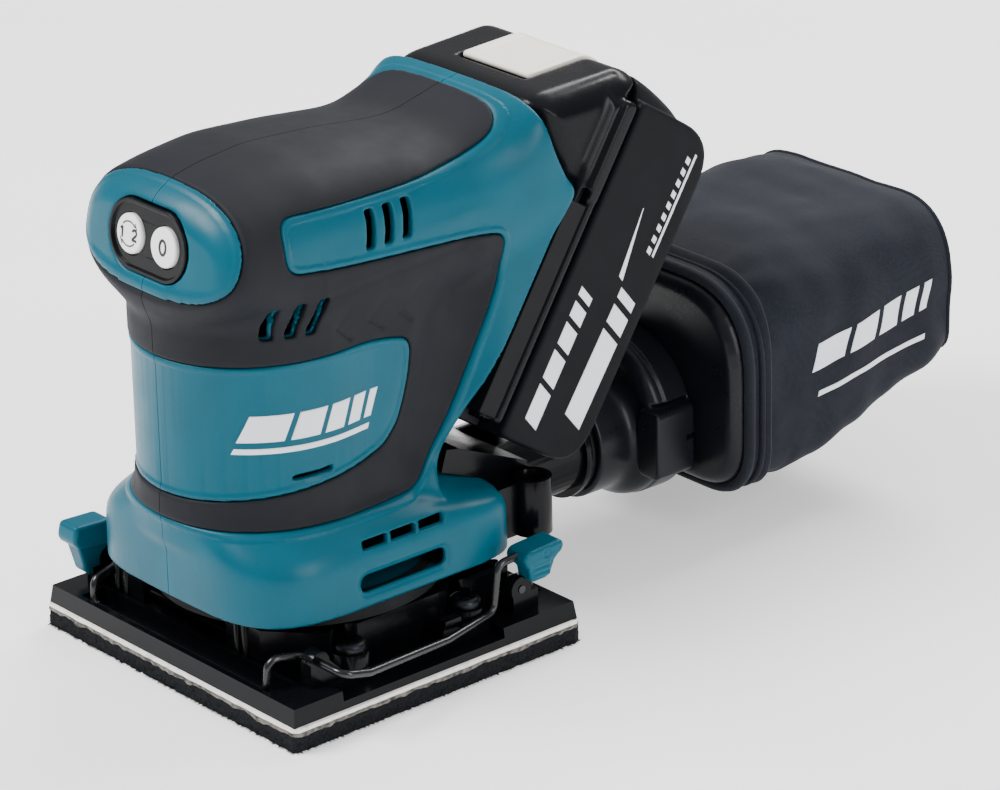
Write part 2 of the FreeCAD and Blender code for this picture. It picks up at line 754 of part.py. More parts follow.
def battery_button():
    points = [(-22.6, 94.4), (-4.9, 107.5), (1.4, 107.5), (1.4, 105.8), (-4.3, 105.8), (-20.9, 93.2)]
    wire = Part.makePolygon([V(-14.5, n, u) for n, u in points + points[:1]])
    cap = Part.Face(wire).extrude(V(29, 0, 0))
    top = [e for e in straight_edges(cap, X_AXIS) if e.CenterOfMass.z > 107 and e.CenterOfMass.y > 0]
    return on_battery_axes(cap.makeFillet(0.8, top))


def battery_cells():
    cells = []
    for column_step in range(5):
        for out in (23.0, 4.95):
            up = 13.3 + 18.4 * column_step
            cell = rod(CELL_R, (-CELL_LENGTH / 2, out, up), (CELL_LENGTH / 2, out, up))
            cells.append(on_battery_axes(cell))
    return cells


def battery_terminals():
    clips = []
    for x in (-9, 9):
        for offset in (-1.9, 1.4):
            clips.append(on_battery_axes(box((x + offset, -19, 81), (x + offset + 0.5, -15, 92))))
    return clips


# ---------------------------------------------------------------- dust nozzle and bag

def dust_nozzle(outside):
    manifold = rounded_box((-POST_X, 36, 28), (POST_X, 55.5, 43.5), 3)
    posts = [rod(POST_R, (side * POST_X, POST_Y, 28), (side * POST_X, POST_Y, POST_TOP)) for side in (-1, 1)]
    cover = prism_x([(24, 50), (26.4, 57.0), (31, 56.0), (55.5, 45.2), (55.5, 42), (30, 42)], -29, 29)
    pipe = rod(PIPE_R, (0, 50, DUCT_Z), (0, PIPE_END, DUCT_Z))
    flange = rod(16.2, (0, 89.4, DUCT_Z), (0, 91.6, DUCT_Z))
    nozzle = manifold.fuse(posts + [cover, pipe, flange])
    nozzle = nozzle.cut(outside)
    nozzle = nozzle.cut(box((-21, 30, 30.5), (21, 53.5, 41)))
    nozzle = nozzle.cut(rod(PIPE_BORE, (0, 53, DUCT_Z), (0, PIPE_END + 1, DUCT_Z)))
    for side in (-1, 1):
        x = side * POST_X
        nozzle = nozzle.cut(rod(4.2, (x, POST_Y, 38), (x, POST_Y, 60)))
        nozzle = nozzle.cut(rod(1.5, (x, POST_Y, 29.5), (x, POST_Y, 50)))
    return nozzle


def nozzle_screw(x):
    return pan_screw((x, POST_Y), 3.6, 1.5, 38, 29.5)


def nozzle_ring():
    return ring(15.8, PIPE_R, (0, 91.6, DUCT_Z), (0, 93.2, DUCT_Z))


def bag_holder():
    """The neck that slides over the pipe, and the drum with its latch tabs."""
    neck = rod(17.4, (0, 93.7, DUCT_Z), (0, 109, DUCT_Z))
    drum = rod(DRUM_R, (0, DRUM_FRONT, DRUM_Z), (0, DRUM_BACK, DRUM_Z))
    holder = neck.fuse(drum)
    for tab in both_sides(rounded_box((18, 106.6, 22), (27.2, 121.4, 43), 2, Y_AXIS)):
        holder = holder.fuse(tab)
    holder = holder.cut(rod(DRUM_R - 2.2, (0, DRUM_FRONT + 2, DRUM_Z), (0, DRUM_BACK + 1, DRUM_Z)))
    return holder.cut(rod(PIPE_R + 0.3, (0, 90, DUCT_Z), (0, 111, DUCT_Z)))


def frame_section(y, inset, power=5):
    return oval(V(0, y, FRAME_Z), X_AXIS, Z_AXIS, FRAME_X - inset, FRAME_HALF_Z - inset, power, 28)


def bag_frame():
    outer = Part.makeLoft([frame_section(DRUM_BACK, 3.5), frame_section(129, 0)], True, True)
    outer = outer.fuse(Part.makeLoft([frame_section(129, 0), frame_section(134, 0)], True, True))
    inner = Part.makeLoft([frame_section(DRUM_BACK + 2.2, 5.2), frame_section(135, 2)], True, True)
    return outer.cut(inner).cut(rod(DRUM_R - 2.2, (0, 120, DRUM_Z), (0, 140, DRUM_Z)))


def bag_solid(inset):
    stations = [
        (129.4, FRAME_X + 1.8, FRAME_Z - 32.2, FRAME_Z + 32.2),
        (136.0, 45.2, 15.4, 81.0),
        (160.0, 46.0, 22.0, 85.0),
        (188.0, 45.6, 30.5, 88.2),
        (206.0, 44.4, 37.0, 88.4),
        (BAG_END - 1.5, 42.6, 41.6, 85.6),
        (BAG_END, 40.2, 44.0, 83.4),
    ]
    wires = []
    for y, half_x, bottom, top in stations:
        if y > 210:
            y -= inset
        centre = V(0, y, (bottom + top) / 2)
        wires.append(oval(centre, X_AXIS, Z_AXIS, half_x - inset, (top - bottom) / 2 - inset, 4.5, 28))
    return Part.makeLoft(wires, True, True)


def bag_fabric():
    """A hollow bag with its mouth held round the frame."""
    bag = bag_solid(0).cut(bag_solid(BAG_WALL))
    return bag.cut(Part.makeLoft([frame_section(128, -0.1), frame_section(134.2, -0.1)], True, True))


def bag_piping():
    inner = Part.makeLoft([frame_section(126.4, -0.1), frame_section(129.4, -0.1)], True, True)
    outer = Part.makeLoft([frame_section(126.4, -3.0), frame_section(129.4, -3.0)], True, True)
    return outer.cut(inner)


# ---------------------------------------------------------------- all pieces

def build():
    save("sanding_pad", foam_pad())
    save("backing_plate", backing_plate())
    save("pad_base", pad_base())
    save("base_screws", *[pan_screw(place) for place in screw_places()])
    save("front_clamp_wire", clamp_wire())
    save("front_clamp_lever", clamp_lever())
    save("rear_clamp_wire", half_turn(clamp_wire(REAR_LEVER_DROP)))
    save("rear_clamp_lever", half_turn(clamp_lever(REAR_LEVER_DROP)))

    save("motor_shaft", motor_shaft())
    save("rotor", rotor())
    save("cooling_fan", fan())
    save("counterweight", counterweight())
    save("eccentric_bearing", ball_bearing(BEARING_R, SHAFT_R, SHAFT_Y + ECCENTRICITY, 15.2, 22.4))
    save("stator_core", stator_core())
    save("stator_windings", *stator_windings())
    save("bearing_plate", bearing_plate())
    save("lower_bearing", ball_bearing(BEARING_R, SHAFT_R + FIT, SHAFT_Y, 46, 53))
    save("upper_bearing", ball_bearing(8, SHAFT_R + FIT, SHAFT_Y, 90, 96))
    save("support_legs", *support_legs())
    save("dust_seal", dust_seal())

    shell, skin, outside = housing_and_grips()
    save("housing_left", left_half(shell))
    save("housing_right", right_half(shell))
    save("grip_left", left_half(skin))
    save("grip_right", right_half(skin))
    save("housing_screws", *[housing_screw(y, z) for y, z in housing_screw_places()])
    save("switch_bezel", switch_bezel())
    save("on_button", switch_button(-BUTTON_X))
    save("off_button", switch_button(BUTTON_X))
    save("switch_board", switch_board())
    save("controller_board", controller_board())
    save("heat_sink", heat_sink())
    save("terminal_block", terminal_block())
    save("terminal_blades", *terminal_blades())

    save("battery_dock", battery_dock())
    save("battery_lower_shell", battery_lower_shell())
    save("battery_upper_shell", battery_upper_shell())
    save("battery_button", battery_button())
    save("battery_cells", *battery_cells())
    save("battery_terminals", *battery_terminals())

    save("dust_nozzle", dust_nozzle(outside))
    save("nozzle_screws", nozzle_screw(-POST_X), nozzle_screw(POST_X))
    save("nozzle_ring", nozzle_ring())
    save("bag_holder", bag_holder())
    save("bag_frame", bag_frame())
    save("bag_fabric", bag_fabric())
    save("bag_piping", bag_piping())


def export():
    os.makedirs("parts", exist_ok=True)
    for name, shape in PIECES.items():
        shape.exportStep("parts/" + name + ".step")
        print(name, len(shape.Solids), shape.isValid(), round(shape.Volume, 1))


build()
export()
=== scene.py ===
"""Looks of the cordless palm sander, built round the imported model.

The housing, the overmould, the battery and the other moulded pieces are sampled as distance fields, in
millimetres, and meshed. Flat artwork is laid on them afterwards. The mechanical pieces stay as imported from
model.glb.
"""

import math
import random

import bmesh
import bpy
import numpy as np
import openvdb
from mathutils import Matrix, Vector, bvhtree, noise


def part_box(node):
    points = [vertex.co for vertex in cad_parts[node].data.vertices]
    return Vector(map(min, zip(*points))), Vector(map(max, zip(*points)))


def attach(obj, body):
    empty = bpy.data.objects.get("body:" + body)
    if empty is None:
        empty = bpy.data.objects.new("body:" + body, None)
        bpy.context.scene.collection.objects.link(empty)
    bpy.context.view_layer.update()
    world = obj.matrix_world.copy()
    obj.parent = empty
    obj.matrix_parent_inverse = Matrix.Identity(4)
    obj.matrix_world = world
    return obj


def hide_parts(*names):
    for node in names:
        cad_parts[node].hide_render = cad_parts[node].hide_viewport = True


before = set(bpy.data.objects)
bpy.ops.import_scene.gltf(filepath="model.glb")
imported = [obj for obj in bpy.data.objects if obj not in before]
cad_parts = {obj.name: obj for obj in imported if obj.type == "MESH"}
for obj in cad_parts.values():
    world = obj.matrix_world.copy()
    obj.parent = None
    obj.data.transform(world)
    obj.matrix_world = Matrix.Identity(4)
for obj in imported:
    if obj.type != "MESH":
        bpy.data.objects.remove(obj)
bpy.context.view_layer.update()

MM = 0.001
GAP = 0.11                     # half the parting line between the two housing halves

# Housing
BARREL_R, BARREL_Y = 34.0, -16.0
COLUMN_X = 32.8
WALL, SKIN, PROUD = 2.6, 1.5, 0.2
SKIRT_BOTTOM, SKIRT_TOP = 27.0, 58.0
VALLEY_X, VALLEY_R = COLUMN_X + 9.5, 12.5
VENT_Z = 44.6

# Switch panel
PANEL_TILT = math.radians(7.8)
PANEL_CENTRE = Vector((0, -50.6, 130.9))
PANEL_X, PANEL_Z = 16.7, 9.8
BUTTON_X = 7.4

# Battery: n is outward from the tool, u is up along the slide
TILT = math.radians(33.1)
BATTERY_ORIGIN = Vector((0, 38.4, 60.0))
BATTERY_X, UPPER_X = 37.3, 34.4
BATTERY_LENGTH, BATTERY_DEPTH = 100.4, 33.7
UPPER_OUT = -6.8

# Dust bag
DUCT_Z, PIPE_R = 31.0, 14.2
DRUM_Z, DRUM_R = 34.7, 24.7
FRAME_X, FRAME_LOW, FRAME_HIGH = 42.5, 16.9, 77.9


def in_scene(name, data):
    made = bpy.data.objects.new(name, data)
    bpy.context.scene.collection.objects.link(made)
    return made


# ---- materials

def linear(red, green, blue):
    """An sRGB colour in 0 to 255 as linear RGBA."""
    made = []
    for value in (red, green, blue):
        value = value / 255
        made.append(value / 12.92 if value <= 0.04045 else ((value + 0.055) / 1.055) ** 2.4)
    return (*made, 1)


def shade(colour, factor):
    return (*[min(1, c * factor) for c in colour[:3]], 1)


class Nodes:
    """A material's node tree, with short calls for the few kinds of node used here."""

    def __init__(self, name):
        self.material = bpy.data.materials.new(name)
        self.material.use_nodes = True
        self.tree = self.material.node_tree
        self.shader = self.tree.nodes["Principled BSDF"]
        self.place = self.add("ShaderNodeTexCoord", {}, "Object")

    def add(self, kind, inputs, output, **settings):
        """An output of a new node whose inputs are set to values or joined to other outputs."""
        node = self.tree.nodes.new(kind)
        for key, value in settings.items():
            setattr(node, key, value)
        for key, value in inputs.items():
            if isinstance(value, bpy.types.NodeSocket):
                self.link(value, node.inputs[key])
            else:
                node.inputs[key].default_value = value
        return node.outputs[output]

    def link(self, source, target):
        self.tree.links.new(source, target)

    def noise(self, size_mm, detail=2.0, rough=0.5):
        inputs = {"Scale": 1 / (size_mm * MM), "Detail": detail, "Roughness": rough, "Vector": self.place}
        return self.add("ShaderNodeTexNoise", inputs, "Fac")

    def cells(self, size_mm):
        inputs = {"Scale": 1 / (size_mm * MM), "Vector": self.place}
        return self.add("ShaderNodeTexVoronoi", inputs, "Distance")

    def bands(self, size_mm, direction, distortion):
        inputs = {"Scale": 1 / (size_mm * MM * 3.2), "Distortion": distortion, "Vector": self.place}
        return self.add("ShaderNodeTexWave", inputs, "Fac", bands_direction=direction)

    def spread(self, value, low, high, start=0.3, end=0.7):
        inputs = {"From Min": start, "From Max": end, "To Min": low, "To Max": high, "Value": value}
        return self.add("ShaderNodeMapRange", inputs, "Result")

    def mix(self, factor, first, second):
        return self.add("ShaderNodeMix", {"Factor": factor, 6: first, 7: second}, 2, data_type="RGBA")

    def product(self, first, second):
        return self.add("ShaderNodeMath", {0: first, 1: second}, 0, operation="MULTIPLY")

    def bump(self, height, depth_mm, strength, under=None):
        inputs = {"Strength": strength, "Distance": depth_mm * MM, "Height": height}
        if under:
            inputs["Normal"] = under
        return self.add("ShaderNodeBump", inputs, "Normal")

    def edges(self):
        """Near 1 on worn outer edges and 0 elsewhere."""
        return self.spread(self.add("ShaderNodeNewGeometry", {}, "Pointiness"), 0, 1, 0.53, 0.62)

    def set(self, **values):
        for key, value in values.items():
            self.shader.inputs[key.replace("_", " ")].default_value = value
        return self

    def finish(self, colour, rough, normal):
        for key, source in (("Base Color", colour), ("Roughness", rough), ("Normal", normal)):
            self.link(source, self.shader.inputs[key])
        return self.material


def moulded(name, colour, rough, grain_mm=0.35, grain=0.35, variation=0.07, wear=0.25, shine=0.2):
    """Injection-moulded plastic: fine spark texture, cloudy colour, uneven gloss and lighter worn edges."""
    made, colour = Nodes(name).set(Specular_IOR_Level=shine), linear(*colour)
    cloud = made.spread(made.noise(14, 3), 0, 1)
    base = made.mix(cloud, shade(colour, 1 - variation), shade(colour, 1 + variation))
    speckle = made.spread(made.noise(0.5, 1), 0, 0.16, 0.45, 0.75)
    base = made.mix(speckle, base, shade(colour, 1.5))
    worn = made.product(made.edges(), wear)
    texture = made.bump(made.noise(grain_mm, 2, 0.6), 0.02, grain)
    return made.finish(made.mix(worn, base, shade(colour, 1.7)),
                       made.spread(made.noise(9, 4, 0.6), rough - 0.05, rough + 0.06),
                       made.bump(made.noise(5, 2), 0.03, 0.12, texture))


def metal(name, colour, rough, brushed=0.15):
    made, colour = Nodes(name).set(Metallic=1.0), linear(*colour)
    return made.finish(made.mix(made.noise(4, 3), shade(colour, 0.85), shade(colour, 1.1)),
                       made.spread(made.noise(1.5, 4), rough - 0.06, rough + 0.1),
                       made.bump(made.noise(0.4, 2), 0.01, brushed))


def bag_cloth(name):
    """Close twill in a dark blue-grey yarn, with a lighter nap."""
    made = Nodes(name).set(Sheen_Weight=0.06, Sheen_Roughness=0.5, Specular_IOR_Level=0.12)
    yarn = linear(27, 30, 37)
    twill = made.bands(0.42, "DIAGONAL", 0.6)
    cross = made.bands(0.36, "X", 1.2)
    weave = made.product(made.spread(twill, 0.35, 1, 0.1, 0.9), made.spread(cross, 0.55, 1, 0.1, 0.9))
    fuzz = made.spread(made.noise(0.8, 3, 0.7), 0, 1, 0.42, 0.68)
    base = made.mix(weave, shade(yarn, 0.7), shade(yarn, 1.2))
    base = made.mix(made.product(fuzz, 0.55), base, shade(yarn, 2.2))
    cloud = made.spread(made.noise(22, 3), 0, 0.4)
    thread = made.bump(weave, 0.1, 0.35)
    return made.finish(made.mix(cloud, base, shade(yarn, 0.7)),
                       made.spread(fuzz, 0.82, 0.97),
                       made.bump(made.noise(2.5, 3), 0.25, 0.35, thread))


def foam(name):
    """Open-cell black foam."""
    made = Nodes(name).set(Specular_IOR_Level=0.15)
    fine = made.noise(0.5, 4, 0.75)
    return made.finish(made.mix(made.spread(fine, 0, 1), linear(6, 7, 9), linear(34, 36, 40)),
                       made.spread(fine, 0.85, 1.0),
                       made.bump(fine, 0.35, 0.8, made.bump(made.cells(0.8), 0.4, 0.7)))


def painted_plate(name):
    """The white face of the backing plate."""
    made = Nodes(name)
    scuff = made.spread(made.noise(3.5, 5, 0.7), 0, 1, 0.52, 0.72)
    return made.finish(made.mix(scuff, linear(243, 240, 234), linear(186, 178, 166)),
                       made.spread(made.noise(1.2, 3), 0.35, 0.55),
                       made.bump(made.noise(0.8, 3), 0.05, 0.3))


def glue(name):
    """Dried adhesive along the lower edge of the plate."""
    made = Nodes(name)
    patch = made.spread(made.noise(1.8, 4, 0.7), 0, 1, 0.35, 0.65)
    return made.finish(made.mix(patch, linear(120, 114, 106), linear(22, 22, 24)),
                       made.spread(patch, 0.35, 0.7),
                       made.bump(made.noise(0.6, 3), 0.15, 0.6))


def printed(name, colour):
    """Screen-printed ink, a little uneven."""
    made, colour = Nodes(name), linear(*colour)
    thin = made.spread(made.noise(0.35, 3, 0.7), 0, 0.35, 0.45, 0.8)
    return made.finish(made.mix(thin, colour, shade(colour, 0.72)),
                       made.spread(made.noise(2, 2), 0.42, 0.6),
                       made.bump(made.noise(0.3, 2), 0.01, 0.3))


MATERIAL_ROWS = (              # maker, name, colour, then the maker's other values in their order
    (moulded, "teal_plastic", (0, 80, 98), 0.36, 0.35, 0.35, 0.07, 0.25, 0.18),
    (moulded, "soft_grip", (24, 26, 31), 0.62, 0.3, 0.6, 0.05, 0.1, 0.16),
    (moulded, "black_plastic", (10, 11, 14), 0.4, 0.4, 0.35, 0.12, 0.25, 0.12),
    (moulded, "gloss_black", (8, 9, 12), 0.2, 0.6, 0.12, 0.1, 0.2, 0.14),
    (moulded, "battery_plastic", (13, 14, 18), 0.5, 0.3, 0.45, 0.08, 0.2, 0.09),
    (moulded, "battery_gloss", (11, 12, 16), 0.26, 0.5, 0.12, 0.08, 0.15, 0.14),
    (moulded, "bag_plastic", (17, 19, 24), 0.3, 0.5, 0.2, 0.08, 0.15),
    (moulded, "white_plastic", (250, 249, 248), 0.3, 0.4, 0.1, 0.02, 0.0, 0.5),
    (moulded, "button_plastic", (250, 244, 230), 0.42, 0.3, 0.25, 0.02, 0.0, 0.5),
    (bag_cloth, "bag_cloth"),
    (moulded, "felt", (30, 31, 33), 0.9, 0.5, 1.0, 0.3, 0.0),
    (foam, "foam"),
    (moulded, "rubber", (22, 23, 25), 0.6, 0.3, 0.5, 0.1, 0.1),
    (painted_plate, "plate_metal"),
    (glue, "glue"),
    (metal, "dark_steel", (44, 46, 50), 0.38),
    (moulded, "spring_wire", (14, 15, 18), 0.25, 0.5, 0.1, 0.1, 0.1, 0.5),
    (metal, "steel", (176, 178, 182), 0.3),
    (metal, "laminations", (120, 122, 126), 0.5, 0.5),
    (metal, "copper", (176, 96, 52), 0.35, 0.4),
    (metal, "brass", (190, 156, 84), 0.3),
    (metal, "aluminium", (186, 188, 190), 0.4),
    (moulded, "circuit_board", (28, 92, 60), 0.4, 0.6, 0.3, 0.15, 0.0),
    (moulded, "cell_sleeve", (54, 118, 150), 0.4, 0.5, 0.1, 0.08, 0.0),
    (printed, "white_ink", (232, 235, 240)),
    (printed, "black_ink", (18, 18, 20)),
)
MATERIALS = {name: maker(name, *values) for maker, name, *values in MATERIAL_ROWS}

NODE_MATERIALS = {
    "black_plastic": ["bearing_plate", "terminal_block", "battery_dock", "nozzle_ring"],
    "gloss_black": ["pad_base", "switch_bezel", "dust_nozzle"],
    "white_plastic": ["on_button", "off_button"],
    "dark_steel": ["base_screws", "housing_screws", "nozzle_screws"],
    "spring_wire": ["front_clamp_wire", "rear_clamp_wire"],
    "steel": ["motor_shaft", "counterweight", "lower_bearing", "upper_bearing", "eccentric_bearing"],
    "laminations": ["rotor", "stator_core"],
    "copper": ["stator_windings"],
    "brass": ["terminal_blades", "battery_terminals"],
    "aluminium": ["heat_sink"],
    "circuit_board": ["switch_board", "controller_board"],
    "cell_sleeve": ["battery_cells"],
    "rubber": ["support_legs"],
    "felt": ["dust_seal"],
    "bag_plastic": ["cooling_fan"],
}


def finish_cad_nodes():
    """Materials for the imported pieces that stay, with slightly rounded edges on the ones in view."""
    rounded = {"pad_base": 0.35, "dust_nozzle": 0.5, "switch_bezel": 0.3, "battery_dock": 0.3,
               "base_screws": 0.2, "nozzle_ring": 0.2, "on_button": 0.15, "off_button": 0.15}
    for slot, names in NODE_MATERIALS.items():
        for name in names:
            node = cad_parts[name]
            node.data.materials.clear()
            node.data.materials.append(MATERIALS[slot])
            if name in rounded:
                weld = node.modifiers.new("weld", "WELD")
                weld.merge_threshold = 1e-6
                bevel = node.modifiers.new("bevel", "BEVEL")
                bevel.width = rounded[name] * MM
                bevel.segments = 2
                bevel.limit_method = "ANGLE"
                bevel.angle_limit = math.radians(35)
                bevel.harden_normals = True


# ---- meshes and pieces

def ring_faces(rings, count, turned=False, closed=False):
    """Four-sided faces between rings of count points, one ring after another."""
    faces = []
    for ring in range(rings if closed else rings - 1):
        here, following = ring * count, (ring + 1) % rings * count
        for step in range(count):
            turn = (step + 1) % count
            face = (here + step, following + step, following + turn, here + turn)
            faces.append((face[0], *face[:0:-1]) if turned else face)
    return faces


def thicken(made, name, thickness, offset):
    thick = made.modifiers.new(name, "SOLIDIFY")
    thick.thickness = thickness * MM
    thick.offset = offset


def wobble(*point):
    return noise.noise(Vector(point))


def place(name, points, faces, material, body, slot=None, sharp=None):
    """A mesh piece from points in millimetres, riding on a body."""
    mesh = bpy.data.meshes.new(name)
    mesh.from_pydata((np.asarray(points, float) * MM).tolist(), [], [tuple(face) for face in faces])
    mesh.validate()
    mesh.materials.append(MATERIALS[material])
    mesh.shade_smooth()
    if sharp:
        mesh.set_sharp_from_angle(angle=math.radians(sharp))
    made = in_scene(name, mesh)
    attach(made, body)
    slot or material
    return made


def sampled(name, node, field, low, high, step, material, body, slot=None, move=None):
    """A piece meshed from its field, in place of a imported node."""
    g = Grid(low, high, step)
    points, faces = g.mesh(field(g))
    made = place(name, move(points) if move else points, faces, material, body, slot, sharp=50)
    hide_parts(node)
    return made


class Grid:
    """Sample points over a box, in millimetres, and the mesh of a field's zero level."""

    def __init__(self, low, high, step):
        self.low, self.step = np.array(low, float), step
        axes = [np.arange(a, b + step, step, dtype=np.float32) for a, b in zip(low, high)]
        self.shape = tuple(len(axis) for axis in axes)
        self.x = axes[0][:, None, None]
        self.y = axes[1][None, :, None]
        self.z = axes[2][None, None, :]

    def distance(self, field):
        """A field with the right zero level, scaled to be nearly a distance beside it."""
        slopes = np.gradient(np.broadcast_to(field, self.shape), self.step)
        steep = np.sqrt(sum(slope * slope for slope in slopes))
        return field / np.maximum(steep, 0.004)

    def mesh(self, field):
        volume = openvdb.FloatGrid()
        volume.copyFromArray(np.array(np.broadcast_to(field, self.shape), dtype=np.float32))
        volume.transform = openvdb.createLinearTransform(voxelSize=self.step)
        points, quads = volume.convertToQuads()
        return points + self.low, quads


def joined(first, second, soft=0.0):
    """Union of two fields, with a fillet about as wide as soft."""
    if not soft:
        return np.minimum(first, second)
    near = np.maximum(soft - np.abs(first - second), 0) / soft
    return np.minimum(first, second) - near * near * soft / 4


def shared(first, second, soft=0.0):
    return -joined(-first, -second, soft)


def less(first, second, soft=0.0):
    return shared(first, -second, soft)


def rounded_both(first, second, radius):
    """Intersection with a circular round of that radius along the edge."""
    a, b = np.maximum(first + radius, 0), np.maximum(second + radius, 0)
    return np.minimum(-radius, np.maximum(first, second)) + np.hypot(a, b)


def ramp(value, start, end):
    t = np.clip((value - start) / (end - start), 0, 1)
    return t * t * (3 - 2 * t)


def smooth_outline(points, steps=6):
    """A closed outline that rounds each corner as widely as its sides allow, or to a given size."""
    made = []
    for before, corner, after in zip(points[-1:] + points[:-1], points, points[1:] + points[:1]):
        here = np.array(corner[:2], float)
        into, out = np.array(before[:2]) - here, np.array(after[:2]) - here
        reach = corner[2] if len(corner) > 2 else 1e3
        start = here + into * min(0.5, reach / np.linalg.norm(into))
        end = here + out * min(0.5, reach / np.linalg.norm(out))
        for step in range(steps + 1):
            t = step / steps
            made.append((1 - t) ** 2 * start + 2 * t * (1 - t) * here + t * t * end)
    return made


def outline_field(outline, a, b):
    """Signed distance to a closed outline in the plane of the coordinates a and b, negative inside."""
    nearest = np.full(np.broadcast(a, b).shape, 1e6, np.float32)
    inside = np.zeros(nearest.shape, bool)
    for (a0, b0), (a1, b1) in zip(outline, list(outline[1:]) + [outline[0]]):
        da, db = a1 - a0, b1 - b0
        length = da * da + db * db
        if length < 1e-12:
            continue
        t = np.clip(((a - a0) * da + (b - b0) * db) / length, 0, 1)
        nearest = np.minimum(nearest, np.hypot(a - a0 - t * da, b - b0 - t * db))
        if db:
            crossed = (b >= b0) != (b >= b1)
            inside ^= crossed & (a < a0 + (b - b0) * (da / db))
    return np.where(inside, -nearest, nearest)


def rounded_shape(points, a, b, steps=6):
    return outline_field(smooth_outline(points, steps), a, b)


def box_field(a, b, half_a, half_b, radius):
    """Rounded rectangle about the zero of the two coordinates."""
    qa, qb = np.abs(a) - half_a + radius, np.abs(b) - half_b + radius
    return np.hypot(np.maximum(qa, 0), np.maximum(qb, 0)) + np.minimum(np.maximum(qa, qb), 0) - radius


def table(values, column, along, softness):
    """One column of a table, read along its first column and smoothed."""
    rows = np.array(values, float)
    read = np.interp(along.ravel(), rows[:, 0], rows[:, column])
    spacing = float(along.ravel()[1] - along.ravel()[0])
    reach = int(3 * softness / spacing)
    weights = np.exp(-0.5 * (np.arange(-reach, reach + 1) * spacing / softness) ** 2)
    padded = np.pad(read, reach, mode="reflect", reflect_type="odd")
    smooth = np.convolve(padded, weights / weights.sum(), mode="valid")
    return smooth.astype(np.float32).reshape(along.shape)


# ---- housing and overmould

SKIRT_TABLE = [                # z, half width, front, rear, squareness
    (20, 44.0, -49.5, 43.1, 4.1), (27, 43.9, -49.5, 43.0, 4.1), (40.5, 43.7, -49.5, 42.8, 4.1),
    (43.5, 43.0, -49.5, 41.6, 3.9), (46.5, 41.2, -49.5, 38.6, 3.3), (49.5, 38.0, -49.6, 33.5, 2.7),
    (53, 34.2, -49.6, 26.5, 2.15), (60, 26, -48, 14, 2),
]
HEAD_TABLE = [                 # y, top, bottom, half width, squareness above and below
    (-60, 144.6, 109.8, 34.6, 2.45, 2.1), (-43, 145.7, 108.6, 34.9, 2.5, 2.15),
    (-33, 148.1, 103.5, 34.9, 2.7, 2.4), (-17, 149.9, 100, 34.8, 2.9, 2.9), (5, 148.6, 98, 34.7, 2.9, 2.9),
    (27, 146.1, 98, 34.6, 2.9, 2.9), (35, 146.2, 98.5, 34.8, 2.9, 2.9), (42, 148.0, 100, 35.2, 2.9, 2.9),
    (52, 150.5, 104, 36.1, 3.2, 2.9), (57, 152.2, 105, 37.0, 4.8, 2.9), (75, 152.8, 106, 37.4, 5.2, 2.9),
]
# Side outlines: y, z and the reach of the corner's rounding, which is as wide as it can be if not given
BACK_OUTLINE = [(-62, 40, 0.1), (14, 40, 0.1), (22.2, 53.9), (68.1, 124.2, 3), (61.3, 138.0, 6),
                (58.9, 149.2, 1), (58.6, 170, 0.1), (-62, 170, 0.1)]
SOFT_OUTLINE = [
    (-70, 106, 0.1), (-54, 115.4, 4), (-49.6, 120.0, 6), (-45.4, 126.5), (-43, 134.7), (-41.4, 143),
    (-39, 160, 0.1), (53.0, 160, 0.1), (52.3, 150.4, 3), (50.0, 147.4), (45.8, 144.0), (37.2, 140.9),
    (27.4, 139.5), (14, 138.7), (-10, 139.2), (-31.4, 139.9, 5.5), (-31.0, 125.0, 5.5), (-12.7, 122.5),
    (24.5, 120.1), (38, 118.9), (44.6, 117.4, 7), (43.9, 106.5), (40.6, 98.2), (32.3, 82), (24.8, 67.5),
    (18, 57.6), (11.5, 51.7), (3, 51.5), (-70, 51.7, 0.1),
]
WINDOW_OUTLINE = [
    (-70, 97.6, 0.1), (-30, 98.8), (-8, 98.9), (5, 97.6), (12.3, 95.2, 6), (11.2, 84), (8.6, 75.4),
    (5.5, 70.2), (-2, 65.2), (-18.2, 63.2), (-44.5, 59.6), (-70, 56, 0.1),
]
CHEVRONS = (((-14.4, 105.9), (-9.5, 101.4)), ((-2.5, 104.8), (2.2, 101.1)), ((8.3, 104.5), (12.1, 100.9)))
SHELL_SHARP, SHELL_KEPT = 62, 0.37     # degrees, and the share of its faces that a shell keeps
SCREW_PLACES = [(-40, 62), (-38, 104), (27.6, 73.5), (40, 97), (43, 138.5)]


def squared(across, along, power):
    """A rounded section between an ellipse and a rectangle, with its edge at zero."""
    return (np.abs(across) ** power + np.abs(along) ** power) ** (1 / power) - 1


def skirt_field(g):
    half_x, front, rear, power = (table(SKIRT_TABLE, column, g.z, 1.4) for column in (1, 2, 3, 4))
    across = g.x / half_x
    along = (g.y - (front + rear) / 2) / ((rear - front) / 2)
    power = power + 3.2 * ramp(along, 0, 0.6) * ramp(48 - g.z, 0, 5)
    skirt = g.distance(squared(across, along, power))
    return np.maximum(rounded_both(skirt, SKIRT_BOTTOM - g.z, 0.8), g.z - SKIRT_TOP)


def head_field(g, back):
    top, bottom, half_x, over, under = (table(HEAD_TABLE, column, g.y, 3.0) for column in (1, 2, 3, 4, 5))
    across = g.x / half_x
    up = (g.z - (top + bottom) / 2) / ((top - bottom) / 2)
    power = under + (over - under) * ramp(up, -0.4, 0.4)
    tube = g.distance(squared(across, up, power))
    face = -(panel_axes(g)[0] + 0.45) + g.x * g.x / 380
    return rounded_both(rounded_both(tube, face, 8.5), back, 1.2)


def panel_axes(g):
    """Depth behind the switch panel and height along it."""
    y, z = g.y - PANEL_CENTRE.y, g.z - PANEL_CENTRE.z
    cos, sin = math.cos(PANEL_TILT), math.sin(PANEL_TILT)
    return y * cos - z * sin, y * sin + z * cos


